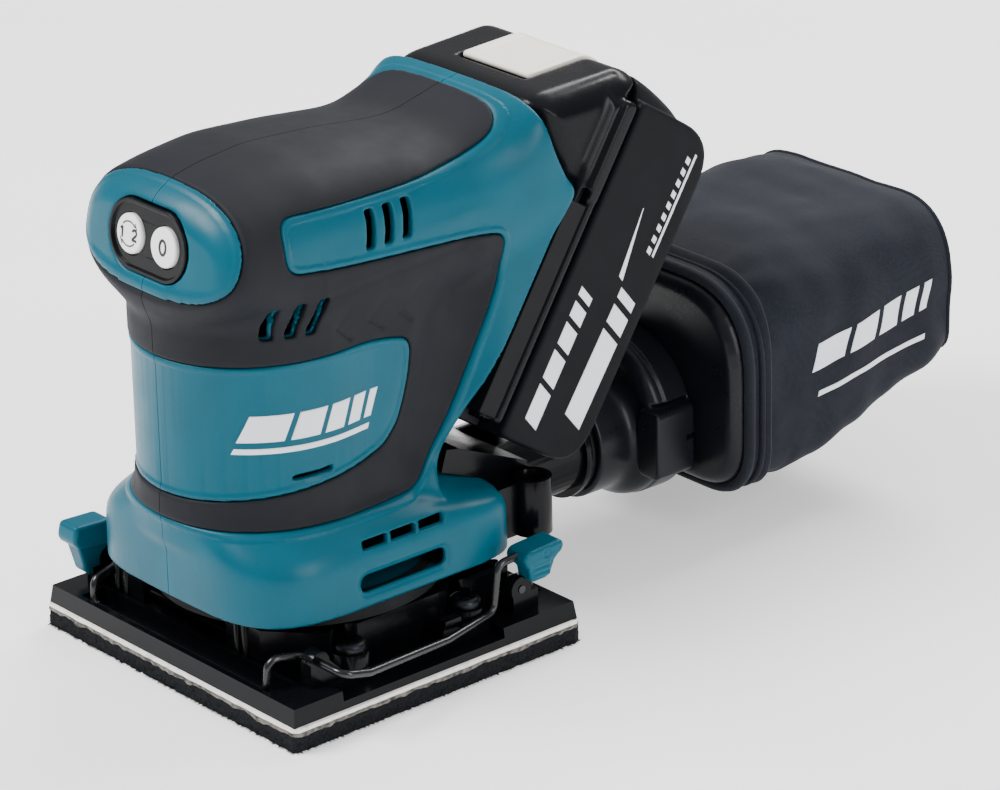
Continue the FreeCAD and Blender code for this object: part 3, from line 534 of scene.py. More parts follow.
def side_valley(g):
    """The hollow for the fingers, between the barrel and the back of the column."""
    return np.hypot(g.x - VALLEY_X, stroke(g, (16.0, 64.0), (33.0, 112.0), 0)) - VALLEY_R


def body_field(g):
    back = rounded_shape(BACK_OUTLINE, g.y, g.z)
    barrel = rounded_both(np.hypot(g.x, g.y - BARREL_Y) - BARREL_R, np.abs(g.z - 78) - 35, 2)
    outward = (g.y - BATTERY_ORIGIN.y) * math.cos(TILT) - (g.z - BATTERY_ORIGIN.z) * math.sin(TILT)
    flare = 4.2 * np.clip((outward + 30) / 20, 0, 1) ** 2
    column = rounded_both(g.x - COLUMN_X - flare, back, 0.7)
    column = shared(column, np.abs(g.z - 84) - 42, 3)
    column = np.maximum(column, BARREL_Y - g.y)
    column = less(column, side_valley(g), 7)
    solid = joined(barrel, skirt_field(g), 3.0)
    solid = joined(solid, column, 2.0)
    return joined(solid, head_field(g, back), 4.0)


def soft_field(g):
    return np.maximum(rounded_shape(SOFT_OUTLINE, g.y, g.z), -rounded_shape(WINDOW_OUTLINE, g.y, g.z))


def curved_slots(g, feet, leans, low, high, width, bow):
    """Side view of three slots that lean and bow, from the places of their feet."""
    middle, half = (low + high) / 2, (high - low) / 2
    t = np.clip((g.z - low) / (high - low), 0, 1)
    return np.minimum.reduce([
        box_field(g.y - (foot + lean * t + bow * 4 * t * (1 - t)), g.z - middle, width / 2, half, 0.45)
        for foot, lean in zip(feet, leans)])


def skirt_vents(g):
    lean = (g.z - VENT_Z) * 0.35
    return np.minimum.reduce([
        box_field(g.y - (-10.0 + 9.9 * step) - lean, g.z - VENT_Z, 4.25, 1.15, 0.4) for step in range(3)])


def stroke(g, start, end, half_width):
    dy, dz = end[0] - start[0], end[1] - start[1]
    t = np.clip(((g.y - start[0]) * dy + (g.z - start[1]) * dz) / (dy * dy + dz * dz), 0, 1)
    return np.hypot(g.y - start[0] - t * dy, g.z - start[1] - t * dz) - half_width


def chevrons(g):
    """Depth of the three faint chevrons moulded into the grip."""
    depth = np.zeros(np.broadcast(g.y, g.z).shape, np.float32)
    for start, end in CHEVRONS:
        lower = stroke(g, start, end, 0.3)
        upper = stroke(g, start, (start[0] + 6.0, start[1] + 5.6), 0.4)
        depth = np.maximum(depth, 0.5 * ramp(-lower, -0.5, 0.1))
        depth = np.maximum(depth, 0.16 * ramp(-upper, -1.2, 0.2))
    crease = stroke(g, (-16, 115.4), (30, 118.2), 0.3)
    depth = np.maximum(depth, 0.16 * ramp(-crease, -1.4, 0.1))
    gate = np.abs(np.hypot(g.y - 42.1, g.z - 108.6) - 0.9) - 0.25
    return np.maximum(depth, 0.3 * ramp(-gate, -0.4, 0.2))


def screw_tunnels(g, radius):
    made = np.minimum.reduce([np.hypot(g.y - y, g.z - z) - radius for y, z in SCREW_PLACES])
    return np.maximum(made, 17.5 - g.x)


def housing_fields(g):
    """Fields of the hard shell and of its overmould, for the half with positive X."""
    body, soft = body_field(g), soft_field(g)
    inner = body + WALL
    depth, height = panel_axes(g)
    straight = PANEL_X - PANEL_Z
    panel = np.hypot(np.maximum(np.abs(g.x) - straight, 0), height) - PANEL_Z - 0.15
    panel = np.maximum(panel, depth - 12)

    low_slots = curved_slots(g, (-34.0, -28.4, -22.9), (0.7, 3.0, 4.7), 106.6, 115.0, 2.4, -0.3)
    high_slots = curved_slots(g, (-2.5, 3.85, 10.2), (0.9, 0.9, 0.9), 125.0, 135.7, 2.9, 0.5)
    long_slot = box_field(g.y + 1.2, g.z - 34.0, 14.8, 2.5, 2.0)
    thin_slot = box_field(g.y + 22.8, g.z - 66.1 - (g.y + 22.8) * 0.06, 5.8, 0.65, 0.55)
    outer_x = 24 - g.x

    ledge = ramp(soft, 1.6, 2.1) * ramp(72 - g.y, 0, 3)
    shell = body + 0.4 * ledge
    shell = shell + 0.5 * ramp(1.5 - long_slot, 0, 0.5) * ramp(g.x, 24, 26)
    pocket = np.maximum(soft - 0.12, -(body + SKIN + 0.05))
    shell = less(shell, pocket, 0.5)
    collar = np.maximum(np.maximum(low_slots - 0.3, body + 0.5), outer_x)
    shell = np.minimum(shell, collar)
    shell = np.maximum(shell, -inner)
    for cutter in (low_slots, high_slots, skirt_vents(g), long_slot, thin_slot):
        shell = less(shell, np.maximum(cutter, outer_x), 0.5)
    shell = less(shell, panel, 1.0)

    skin = body - PROUD + chevrons(g) * ramp(g.x, 24, 26)
    skin = rounded_both(skin, soft + 0.1, 0.7)
    skin = np.maximum(skin, -(body + SKIN))
    skin = less(skin, np.maximum(low_slots - 0.45, outer_x), 0.4)
    return body, shell, skin


def half_mesh(points, faces, side):
    """Cuts a half off cleanly at the parting line, caps it, and mirrors it for the right side."""
    bm = bmesh.new()
    vertices = [bm.verts.new(point) for point in points.tolist()]
    for face in faces.tolist():
        bm.faces.new([vertices[index] for index in face])
    everything = bm.verts[:] + bm.edges[:] + bm.faces[:]
    cut = bmesh.ops.bisect_plane(
        bm, geom=everything, plane_co=(GAP, 0, 0), plane_no=(1, 0, 0), clear_inner=True)
    edges = [item for item in cut["geom_cut"] if isinstance(item, bmesh.types.BMEdge)]
    bmesh.ops.triangle_fill(bm, use_beauty=True, edges=edges, normal=(-1, 0, 0))
    bmesh.ops.recalc_face_normals(bm, faces=bm.faces[:])
    if side < 0:
        for vertex in bm.verts:
            vertex.co.x = -vertex.co.x
        bmesh.ops.reverse_faces(bm, faces=bm.faces[:])
    bm.verts.index_update()
    made_points = np.array([vertex.co[:] for vertex in bm.verts])
    made_faces = [[vertex.index for vertex in face.verts] for face in bm.faces]
    bm.free()
    return made_points, made_faces


def lighten(made, ratio, sharp):
    """Fewer faces, with the sharp edges marked again afterwards."""
    made.modifiers.new("lighter", "DECIMATE").ratio = ratio
    graph = bpy.context.evaluated_depsgraph_get()
    mesh = bpy.data.meshes.new_from_object(made.evaluated_get(graph))
    made.modifiers.clear()
    made.data = mesh
    mesh.set_sharp_from_angle(angle=math.radians(sharp))


def housing():
    g = Grid((-1.0, -54.0, 25.0), (46.0, 71.0, 153.0), 0.5)
    body, shell, skin = housing_fields(g)
    made = []
    for side, word in ((1, "left"), (-1, "right")):
        shell_here, skin_here = shell, skin
        if side < 0:
            boss = np.maximum(screw_tunnels(g, 4.4), body + 0.6)
            hole = screw_tunnels(g, 3.15)
            shell_here = less(np.minimum(shell, boss), hole, 0.4)
            skin_here = less(skin, screw_tunnels(g, 3.5), 0.6)
        points, faces = half_mesh(*g.mesh(shell_here), side)
        hard = place(f"shell_{word}", points, faces, "teal_plastic", "housing", sharp=SHELL_SHARP)
        lighten(hard, SHELL_KEPT, SHELL_SHARP)
        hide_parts(f"housing_{word}")
        points, faces = half_mesh(*g.mesh(skin_here), side)
        soft = place(f"overmould_{word}", points, faces, "soft_grip", "housing", sharp=SHELL_SHARP)
        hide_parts(f"grip_{word}")
        made += [hard, soft]
    return made


# ---- battery

def battery_points(points):
    """From the battery's own axes to the sander's."""
    x, n, u = np.asarray(points).T
    cos, sin = math.cos(TILT), math.sin(TILT)
    return np.stack([x, BATTERY_ORIGIN.y + n * cos + u * sin, BATTERY_ORIGIN.z - n * sin + u * cos], 1)


LATCH_WELL = [(-23.2, 92.8), (-23.2, 116), (12, 116), (12, 105.4), (-0.2, 105.4), (-17.2, 92.6)]


def upper_shell_field(g):
    """The terminal side of the battery: plate, side beads and the raised block, with the well for its latch.
    """
    x, n, u = np.abs(g.x), g.y, g.z
    plate = rounded_both(x - UPPER_X, np.maximum(UPPER_OUT - n, np.abs(u - 49.5) - 46.5), 1.2)
    side = rounded_shape([
        (2, 66, 0.1), (2, 106.3, 0.1), (-4.4, 106.5, 3), (-28.2, 89.6, 4), (-30.6, 86, 3), (-23, 78.0, 6),
        (-6.0, 67.6, 3),
    ], n, u)
    block = rounded_both(side, x - 33.8 - 0.06 * n, 8.0)
    groove = np.hypot(side, x - 28.6 + 0.02 * n) - 0.9
    groove = np.maximum(groove, np.maximum(n + 6, -24 - n))
    block = less(block, groove, 0.8)
    bead_wide = box_field(n + 2.2, u - 83.7, 2.8, 15.3, 2.2)
    bead_low = box_field(n + 1.6, u - 50.0, 1.6, 47.0, 1.2)
    beads = rounded_both(x - 36.7, np.minimum(bead_wide, bead_low), 1.4)
    shell = joined(joined(plate, block, 4.0), beads, 1.2)
    shell = np.maximum(shell, n + 0.12)
    well = outline_field(LATCH_WELL, n, u)
    pocket = shared(well, x - 14.8, 1.0)
    rail = np.maximum(box_field(n + 4.7, u - 30, 0.75, 42, 0.2), 33.3 - x)
    blades = np.maximum(box_field(x - 9, n + 17, 1.3, 3.2, 0.3), np.abs(u - 72) - 14)
    for cutter in (pocket, rail, blades):
        shell = less(shell, cutter, 0.4)
    return shell


def lower_shell_field(g):
    x, n, u = np.abs(g.x), g.y, g.z
    side = rounded_shape([
        (0.12, 0, 4.5), (BATTERY_DEPTH, 0, 13), (BATTERY_DEPTH, BATTERY_LENGTH, 14),
        (0.12, BATTERY_LENGTH, 2),
    ], n, u, 10)
    shell = rounded_both(x - BATTERY_X, side, 1.3)
    crown = rounded_shape([
        (-4, 80, 0.1), (-4, 106.3, 0.1), (8, 105.6), (25, 101.4), (32, 92), (30, 80, 0.1),
    ], n, u)
    shell = joined(shell, rounded_both(crown, x - 33.6, 6.0), 1.0)
    shell = np.maximum(shell, 0.12 - n)
    groove = np.abs(n - 0.4) - 0.3
    shell = less(shell, np.maximum(groove, -(shell + 0.5)), 0.3)
    return shell


def latch_field(g):
    x, n, u = np.abs(g.x), g.y, g.z
    side = rounded_shape([
        (-22.6, 94.4, 1.2), (-4.9, 107.1, 2.5), (1.4, 107.1, 1), (1.4, 105.4, 0.5), (-4.4, 105.4, 1),
        (-20.7, 93.2, 1),
    ], n, u)
    plan = box_field(x, n + 10.2, 14.4, 12.4, 2.6)
    dish = 0.35 * ramp(12.5 - x, 0, 3) * ramp(n + 20, 0, 3) * ramp(-1 - n, 0, 3)
    return rounded_both(rounded_both(side + dish, plan, 0.5), x - 14.4, 0.8)


def battery():
    rows = (
        ("battery_case", "battery_lower_shell", lower_shell_field, (-39, -1, -2), (39, 35, 108), 0.6,
         "battery_plastic", "battery", "battery_plastic"),
        ("battery_cover", "battery_upper_shell", upper_shell_field, (-39, -33, -1), (39, 2, 109.5), 0.6,
         "battery_gloss", "battery", "battery_plastic"),
        ("battery_latch", "battery_button", latch_field, (-16, -25, 90), (16, 3, 110), 0.35,
         "button_plastic", "battery_release", "button_plastic"),
    )
    return [sampled(*row, battery_points) for row in rows]


# ---- clamp levers

def lever_field(g, crown, foot):
    """Paddle of the front clamp: a wedge to press down on, over a ribbed tab."""
    x, y, z = g.x, g.y, g.z
    wedge = rounded_shape([
        (33.6, 28.6, 1.5), (34.8, 25.9, 1.4), (46.8, 26.9, 2), (48.7, 29.2, 1.5), (47.6, 31.3 + crown, 1.5),
        (35.0, 30.7 + crown, 2),
    ], y, z)
    wedge = rounded_both(wedge, np.abs(x - 48.2) - 4.4, 1.3)
    tab = rounded_shape([
        (36.2, 21.2 - foot, 1.6), (42.9, 21.3 - foot, 2), (46.0, 28, 1), (35.0, 28, 1),
    ], y, z)
    tab = rounded_both(tab, np.abs(x - 49.4) - 2.95, 0.9)
    lever = joined(wedge, tab, 1.2)
    for step in range(3):
        rib = np.hypot(x - 52.1, z - 22.9 - 1.6 * step) - 0.62
        lever = joined(lever, np.maximum(rib, np.abs(y - 40.0) - 2.9), 0.5)
    mark = np.hypot(np.hypot(y - 42.0, z - 28.9) - 1.1, x - 52.7) - 0.34
    return less(lever, mark, 0.3)


def levers():
    """The rear lever is the front one turned half a turn, with a taller paddle."""
    for word, turn, drop, crown, foot in (("front", 1, 0, 0, 0), ("rear", -1, 1.5, 2.6, 4.2)):
        sampled(f"{word}_lever", f"{word}_clamp_lever", lambda g: lever_field(g, crown, foot),
                (42.5, 32, 15), (54.5, 50, 37), 0.25, "teal_plastic", f"{word}_clamp",
                move=lambda points: points * (turn, turn, 1) - (0, 0, drop))


# ---- bag holder and frame

def holder_field(g):
    """The neck that slides over the pipe, flaring into the drum, with a latch tab on each side."""
    x, y, z = g.x, g.y, g.z
    about_pipe, about_drum = np.hypot(x, z - DUCT_Z), np.hypot(x, z - DRUM_Z)
    neck = rounded_both(about_pipe - 17.4, np.abs(y - 102) - 8.3, 0.8)
    drum = rounded_both(about_drum - DRUM_R, np.abs(y - 116) - 7.9, 4.0)
    drum = np.maximum(drum, y - 123)
    band = rounded_both(about_drum - DRUM_R - 0.5, np.abs(y - 118) - 4.6, 0.5)
    holder = joined(joined(neck, drum, 5.0), band, 0.6)
    tab = rounded_both(box_field(np.abs(x) - 22.8, z - 32.5, 4.4, 10.4, 2.0), np.abs(y - 114) - 7.3, 0.8)
    holder = joined(holder, tab, 0.8)
    notch = np.maximum(box_field(y - 120.4, z - 33.0, 2.2, 0.75, 0.2), 25.0 - np.abs(x))
    holder = less(holder, notch, 0.3)
    side_gap = np.maximum(np.abs(z - 43.6) - 0.35, np.maximum(21.5 - np.abs(x), np.abs(y - 114) - 7.6))
    holder = less(holder, side_gap, 0.3)
    holder = less(holder, np.maximum(about_drum - DRUM_R + 2.2, 110 - y), 0.5)
    return less(holder, about_pipe - PIPE_R - 0.35, 0.6)


def frame_outline(grow=0.0):
    low, high, half = FRAME_LOW - grow, FRAME_HIGH + grow, FRAME_X + grow
    return [(-half, low, 17), (half, low, 17), (half, high, 26), (-half, high, 26)]


def frame_field(g):
    outline = rounded_shape(frame_outline(), g.x, g.z, 10)
    cap = rounded_both(outline + 0.9 * ramp(127.5 - g.y, 0, 5), 122.6 - g.y, 3.0)
    cap = np.maximum(cap, g.y - 134)
    cap = less(cap, np.maximum(outline + 2.0 + 0.9 * ramp(129.5 - g.y, 0, 5), 124.8 - g.y), 0.8)
    return less(cap, np.hypot(g.x, g.z - DRUM_Z) - DRUM_R + 2.2, 0.5)


def bag_mount():
    sampled("bag_neck", "bag_holder", holder_field, (-29, 92, 8), (29, 125, 62), 0.5,
            "bag_plastic", "dust_bag")
    sampled("bag_mouth", "bag_frame", frame_field, (-44.5, 121, 15), (44.5, 135, 80), 0.5,
            "bag_plastic", "dust_bag")


# ---- the cloth bag

BAG_TABLE = [                  # y, half width, bottom, top, bottom corner, top corner
    (127, 43.6, 15.4, 79.8, 17, 26),
    (131.5, 43.2, 15.8, 79.6, 17, 26),
    (134, 44.6, 15.6, 81.4, 14, 25),
    (142, 45.4, 16.9, 83.2, 11, 24),
    (160, 45.9, 21.4, 85.4, 9, 23),
    (185, 45.6, 29.3, 87.6, 8, 23),
    (205, 44.7, 36.4, 88.0, 8, 22),
    (213, 43.4, 40.4, 86.4, 8, 20),
]
BAG_END = 215.0
AROUND = 144                   # points in one ring of the bag
HELD_RINGS, SIDE_RINGS = 9, 50
SETTLE_STEPS, SETTLE_MM = 18, 4.5
CLOTH = {"quality": 6, "mass": 0.12, "tension_stiffness": 30, "compression_stiffness": 30,
         "shear_stiffness": 12, "bending_stiffness": 3, "use_pressure": True,
         "uniform_pressure_force": 0.35, "vertex_group_mass": "held"}


def bag_section(half, low, high, low_corner, high_corner, y):
    """One loop round the bag, its points evenly spaced."""
    corners = [(-half, low, low_corner), (half, low, low_corner),
               (half, high, high_corner), (-half, high, high_corner)]
    loop = np.array(smooth_outline(corners, 12))
    closed = np.vstack([loop, loop[:1]])
    travelled = np.concatenate([[0], np.cumsum(np.linalg.norm(np.diff(closed, axis=0), axis=1))])
    wanted = np.linspace(0, travelled[-1], AROUND, endpoint=False)
    x = np.interp(wanted, travelled, closed[:, 0])
    z = np.interp(wanted, travelled, closed[:, 1])
    return np.stack([x, np.full(AROUND, y), z], 1)


def bag_loft():
    along = np.concatenate([np.linspace(127, 134, 8), np.linspace(135.8, 213, SIDE_RINGS - 8)])
    places, *columns = zip(*BAG_TABLE)
    rings = [bag_section(*(np.interp(y, places, column) for column in columns), y) for y in along]
    last = rings[-1]
    centre = last.mean(0)
    for step, shrink in enumerate((0.985, 0.94, 0.87, 0.78, 0.68, 0.57, 0.45, 0.33, 0.21, 0.1)):
        ring = centre + (last - centre) * shrink
        ring[:, 1] = BAG_END - 0.8 * (step == 0)
        rings.append(ring)
    faces = ring_faces(len(rings), AROUND)
    final = (len(rings) - 1) * AROUND
    points = np.vstack([*rings, rings[-1].mean(0)])
    for step in range(AROUND):
        faces.append((final + step, final + AROUND, final + (step + 1) % AROUND))
    return points, faces


def crumple(points):
    """Soft dents and folds: the cloth is slack between the mouth and the far end."""
    moved = points.copy()
    centre = np.array([0, 0, 52.0])
    for index, point in enumerate(points):
        free = float(ramp(point[1], 133, 150))
        out = point - centre
        out[1] = 0
        out = out / max(1.0, np.linalg.norm(out))
        broad = noise.noise(Vector(point * 0.035) + Vector((3.1, 0, 7.7)))
        fold = wobble(point[0] * 0.03 + 11, point[1] * 0.085, point[2] * 0.05 + 5)
        fine = noise.noise(Vector(point * 0.11) + Vector((9.2, 4.4, 1.3)))
        moved[index] += out * free * (2.2 * broad + 1.3 * fold + 0.5 * fine)
    return moved


def relax_cloth(made, pinned):
    """A short cloth simulation: a slightly puffed bag settles under its own weight, held at its mouth."""
    group = made.vertex_groups.new(name="held")
    group.add([int(index) for index in pinned], 1.0, "REPLACE")
    cloth = made.modifiers.new("cloth", "CLOTH")
    for key, value in CLOTH.items():
        setattr(cloth.settings, key, value)
    cloth.collision_settings.use_collision = False
    scene = bpy.context.scene
    for step in range(1, SETTLE_STEPS + 1):
        scene.frame_set(step)
    settled = made.evaluated_get(bpy.context.evaluated_depsgraph_get()).to_mesh()
    moved = np.array([vertex.co[:] for vertex in settled.vertices])
    start = np.array([vertex.co[:] for vertex in made.data.vertices])
    made.modifiers.remove(cloth)
    scene.frame_set(1)
    shift = moved - start
    length = np.linalg.norm(shift, axis=1, keepdims=True)
    shift = shift * np.minimum(1, SETTLE_MM * MM / np.maximum(length, 1e-9))
    made.data.vertices.foreach_set("co", (start + shift).astype(np.float32).ravel())
    made.data.update()


def bag():
    points, faces = bag_loft()
    made = place("bag", crumple(points), faces, "bag_cloth", "dust_bag")
    relax_cloth(made, np.arange(HELD_RINGS * AROUND))
    thicken(made, "cloth thickness", 0.8, -1)
    smooth = made.modifiers.new("smooth", "SUBSURF")
    smooth.levels = smooth.render_levels = 1
    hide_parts("bag_fabric")
    hem = tube("bag_piping_cord", piping_path(127.6, 1.0), 1.65, "bag_cloth", "dust_bag")
    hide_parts("bag_piping")
    fold = tube("bag_seam_fold", piping_path(132.2, 1.5), 0.85, "bag_cloth", "dust_bag")
    seam = end_seam(made)
    return made


def piping_path(y, grow):
    return [(x, y, z) for x, z in smooth_outline(frame_outline(grow), 14)]


def end_seam(cloth):
    """The bound seam round the far end of the bag."""
    ring = (SIDE_RINGS - 1) * AROUND
    path = [tuple(np.array(cloth.data.vertices[ring + step].co) / MM) for step in range(AROUND)]
    return tube("bag_end_seam", path, 0.7, "bag_cloth", "dust_bag")


def tube(name, path, radius, material, body, sides=12):
    """A round cord along a closed path, its rings square to the path."""
    line = np.array(path, float)
    keep = [0]
    for index in range(1, len(line)):
        if np.linalg.norm(line[index] - line[keep[-1]]) > 0.05:
            keep.append(index)
    line = line[keep]
    count = len(line)
    points = []
    for index in range(count):
        ahead, behind = line[(index + 1) % count], line[index - 1]
        forward = (ahead - behind) / np.linalg.norm(ahead - behind)
        side = np.cross(forward, (0, 1, 0))
        side = side / np.linalg.norm(side)
        up = np.cross(side, forward)
        for step in range(sides):
            angle = 2 * math.pi * step / sides
            points.append(line[index] + radius * (side * math.cos(angle) + up * math.sin(angle)))
    return place(name, points, ring_faces(count, sides, turned=True, closed=True), material, body)


# ---- pad, plate and their rough edges

def pad():
    """Foam with uneven sides, a fringe of torn cells along its lower edge, and the plate above."""
    random.seed(7)
    low, high = (np.array(corner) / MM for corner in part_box("sanding_pad"))
    half = (high[:2] - low[:2]) / 2
    path = perimeter(half, 1.0, 0.8)
    levels = np.linspace(0.25, high[2] - 0.02, 9)
    points = []
    for level in levels:
        for x, y, nx, ny in path:
            rough = wobble(x * 0.9, y * 0.9, level * 1.3) * 0.35
            rough += wobble(x * 3.1, y * 3.1, level * 3) * 0.2 - 0.25
            points.append((x + nx * rough, y + ny * rough, level))
    count = len(path)
    faces = ring_faces(len(levels), count, turned=True)
    faces.append(tuple(range(count))[::-1])
    faces.append(tuple(range((len(levels) - 1) * count, len(levels) * count)))
    made = place("foam_pad", points, faces, "foam", "pad", sharp=50)
    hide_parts("sanding_pad")
    fibres(path)
    plate(half)


def perimeter(half, corner, spacing):
    """Points round a rectangle with their outward normals, evenly spaced."""
    made = []
    sides = ((-1, -1, 1, -1, 0, -1), (1, -1, 1, 1, 1, 0), (1, 1, -1, 1, 0, 1), (-1, 1, -1, -1, -1, 0))
    for sx, sy, ex, ey, nx, ny in sides:
        start, end = np.array([sx, sy]) * half, np.array([ex, ey]) * half
        direction = (end - start) / np.linalg.norm(end - start)
        start, end = start + direction * corner, end - direction * corner
        for t in np.arange(0, 1, spacing / np.linalg.norm(end - start)):
            here = start + (end - start) * t
            made.append((here[0], here[1], nx, ny))
    return made


def fibres(path):
    """Short torn bits of foam that stick out of the lower part of the sides."""
    points, faces = [], []
    for x, y, nx, ny in path:
        for _ in range(5):
            along = random.uniform(-0.5, 0.5)
            level = 0.15 + random.random() ** 2.5 * 3.2
            reach = random.uniform(0.15, 0.85) * (1.0 if level < 0.9 else 0.5)
            width = random.uniform(0.1, 0.24)
            lean = random.uniform(-0.5, 0.5)
            root = np.array([x - ny * along - nx * 0.55, y + nx * along - ny * 0.55, level])
            side = np.array([-ny, nx, 0.0]) * width
            tip = root + np.array([nx, ny, 0.0]) * (reach + 0.55) + side * lean * 3
            tip[2] = max(0.05, level - random.uniform(0, 0.5) * reach)
            start = len(points)
            points += [root - side, root + side, root + (0, 0, width * 1.6), tip]
            faces += [(start, start + 1, start + 3), (start + 1, start + 2, start + 3),
                      (start + 2, start, start + 3), (start, start + 2, start + 1)]
    place("foam_fringe", points, faces, "foam", "pad")


# Edge profiles of the plate and of the glue under it: outward, up, and the share of raggedness
PLATE_PROFILE = ((-3.0, 0.0, 0), (-0.35, 0.0, 0), (0.0, -0.2, 0), (0.05, -0.75, 0), (0.0, -1.45, 0.12),
                 (-0.6, -1.6, 0.1), (-3.0, -1.6, 0))
GLUE_PROFILE = ((-3.0, -1.55, 0), (0.08, -1.15, 0.25), (0.24, -1.45, 0.4), (0.14, -2.2, 0.9),
                (-0.5, -2.3, 0.9), (-3.0, -2.1, 0))


def plate(half):
    """White backing plate whose glued lower edge is ragged."""
    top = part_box("backing_plate")[1][2] / MM
    rows = []
    for x, y, nx, ny in perimeter(half - 0.1, 1.2, 0.6):
        rag = wobble(x * 0.16, y * 0.16, 2.0) + 0.6 * wobble(x * 0.5, y * 0.5, 7.0)
        rows.append((x, y, nx, ny, rag))
    edge = sweep("plate_edge", rows, PLATE_PROFILE, top, "plate_metal")
    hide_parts("backing_plate")
    sweep("plate_glue", rows, GLUE_PROFILE, top, "glue")


def sweep(name, rows, profile, top, material):
    """A profile carried round the perimeter rows and closed across the middle."""
    points = []
    count = len(rows)
    for out, up, ragged in profile:
        for x, y, nx, ny, rag in rows:
            reach = out + 0.25 * ragged * rag
            points.append((x + nx * reach, y + ny * reach, top + up - ragged * 0.8 * rag))
    faces = ring_faces(len(profile), count)
    faces.append(tuple(range(count)))
    faces.append(tuple(range((len(profile) - 1) * count, len(profile) * count))[::-1])
    return place(name, points, faces, material, "pad", "plate_metal", sharp=45)


# ---- printed marks

INK_STEP, INK_LIFT, INK_THICK = 0.7, 0.05, 0.06
BESIDE_X = 60                  # clear of the tool's sides, where the marks start before they are laid on


def lay_on(name, quads, to_world, inward, targets, material, body, slot):
    """Thin printed shapes laid on the surfaces that they face.

    Each quad has four corners in a flat drawing plane, to_world puts a drawing point in space in
    millimetres, and the shape is pushed along inward until it meets a target.
    """
    graph = bpy.context.evaluated_depsgraph_get()
    trees = [bvhtree.BVHTree.FromObject(target, graph) for target in targets]
    direction = Vector(inward).normalized()
    points, faces = [], []
    for quad in quads:
        a, b, c, d = (np.array(corner, float) for corner in quad)
        across = max(2, int(np.linalg.norm(b - a) / INK_STEP) + 1)
        up = max(2, int(np.linalg.norm(d - a) / INK_STEP) + 1)
        start = len(points)
        for i in range(across + 1):
            for j in range(up + 1):
                s, t = i / across, j / up
                flat = a * (1 - s) * (1 - t) + b * s * (1 - t) + c * s * t + d * (1 - s) * t
                origin = Vector(to_world(*flat)) * MM
                hits = [tree.ray_cast(origin, direction) for tree in trees]
                hits = [hit for hit in hits if hit[0] is not None]
                nearest = min(hits, key=lambda hit: hit[3])[0] if hits else origin
                points.append(tuple((nearest - direction * INK_LIFT * MM) / MM))
        for i in range(across):
            for j in range(up):
                k = start + i * (up + 1) + j
                faces.append((k, k + up + 1, k + up + 2, k + 1))
    made = place(name, points, faces, material, body, slot)
    facing_out(made, direction)
    thicken(made, "ink", INK_THICK, 0)


def facing_out(made, direction):
    bm = bmesh.new()
    bm.from_mesh(made.data)
    wrong = [face for face in bm.faces if face.normal.dot(direction) > 0]
    bmesh.ops.reverse_faces(bm, faces=wrong)
    bm.to_mesh(made.data)
    bm.free()


def slanted(start, low, width, height, lean):
    high = low + height
    return [(start, low), (start + width, low), (start + width + lean, high), (start + lean, high)]


def barrel_mark(targets):
    """Five leaning blocks over a long bar, printed on both sides of the barrel."""
    quads = []
    start = -41.0
    for width in (10.4, 8.2, 6.2, 4.4, 2.6):
        quads.append(slanted(start, 77.0, width, 7.6, 2.8))
        start += width + 1.6
    quads.append(slanted(-42.0, 73.6, 38.0, 1.6, 0.6))
    for side, word in ((1, "left"), (-1, "right")):
        lay_on(f"barrel_mark_{word}", quads, lambda a, b: (BESIDE_X * side, a, b), (-side, 0, 0), targets,
               "white_ink", "housing", "teal_plastic")


def battery_mark(targets):
    """A filled bar, leaning blocks, a tapering line and a row of ticks along the sides of the battery."""
    quads = [[(20.3, 13.0), (28.0, 10.4), (28.6, 36.6), (20.9, 39.2)]]
    quads.append([(20.9, 41.2), (28.6, 38.6), (28.7, 44.0), (21.0, 46.6)])
    quads.append([(21.0, 48.6), (28.7, 46.0), (28.7, 49.0), (21.0, 51.6)])
    quads.append([(18.4, 54.0), (20.4, 53.2), (16.7, 74.0), (16.5, 74.0)])
    u = 7.5
    for width in (10.5, 8.5, 6.5, 4.5, 2.5):
        quads.append([(6.4, u), (12.2, u - 2.0), (12.2, u + width - 2.0), (6.4, u + width)])
        u += width + 1.8
    quads.append([(27.2, 63.0), (28.1, 62.7), (28.1, 93.7), (27.2, 94.0)])
    for step in range(9):
        u = 63.5 + 3.4 * step
        quads.append([(24.6, u), (26.4, u - 0.6), (26.4, u + 1.2), (24.6, u + 1.8)])
    for side, word in ((1, "left"), (-1, "right")):
        lay_on(f"battery_mark_{word}", quads, lambda n, u: battery_points([(BESIDE_X * side, n, u)])[0],
               (-side, 0, 0), targets, "white_ink", "battery", "battery_plastic")


def bag_mark(targets):
    """Leaning blocks over a thin line, printed on the near side of the bag."""
    quads = []
    start = 152.0
    for width in (12.5, 10.0, 7.5, 5.0, 3.0):
        rise = 0.16 * (start - 152)
        quads.append([(start, 48.5 + rise), (start + width, 48.5 + rise + 0.16 * width),
                      (start + width + 2.4, 57.0 + rise + 0.16 * width), (start + 2.4, 57.0 + rise)])
        start += width + 2.2
    quads.append([(154, 40.6), (197, 46.9), (197.4, 48.6), (154.4, 42.3)])
    lay_on("bag_mark", quads, lambda a, b: (70, a, b), (-1, 0, 0), targets,
           "white_ink", "dust_bag", "bag_cloth")


def panel_point(x, height, out):
    """A point on the switch panel: across, up along it, and out from it."""
    cos, sin = math.cos(PANEL_TILT), math.sin(PANEL_TILT)
    return (x, PANEL_CENTRE.y - out * cos + height * sin, PANEL_CENTRE.z + out * sin + height * cos)


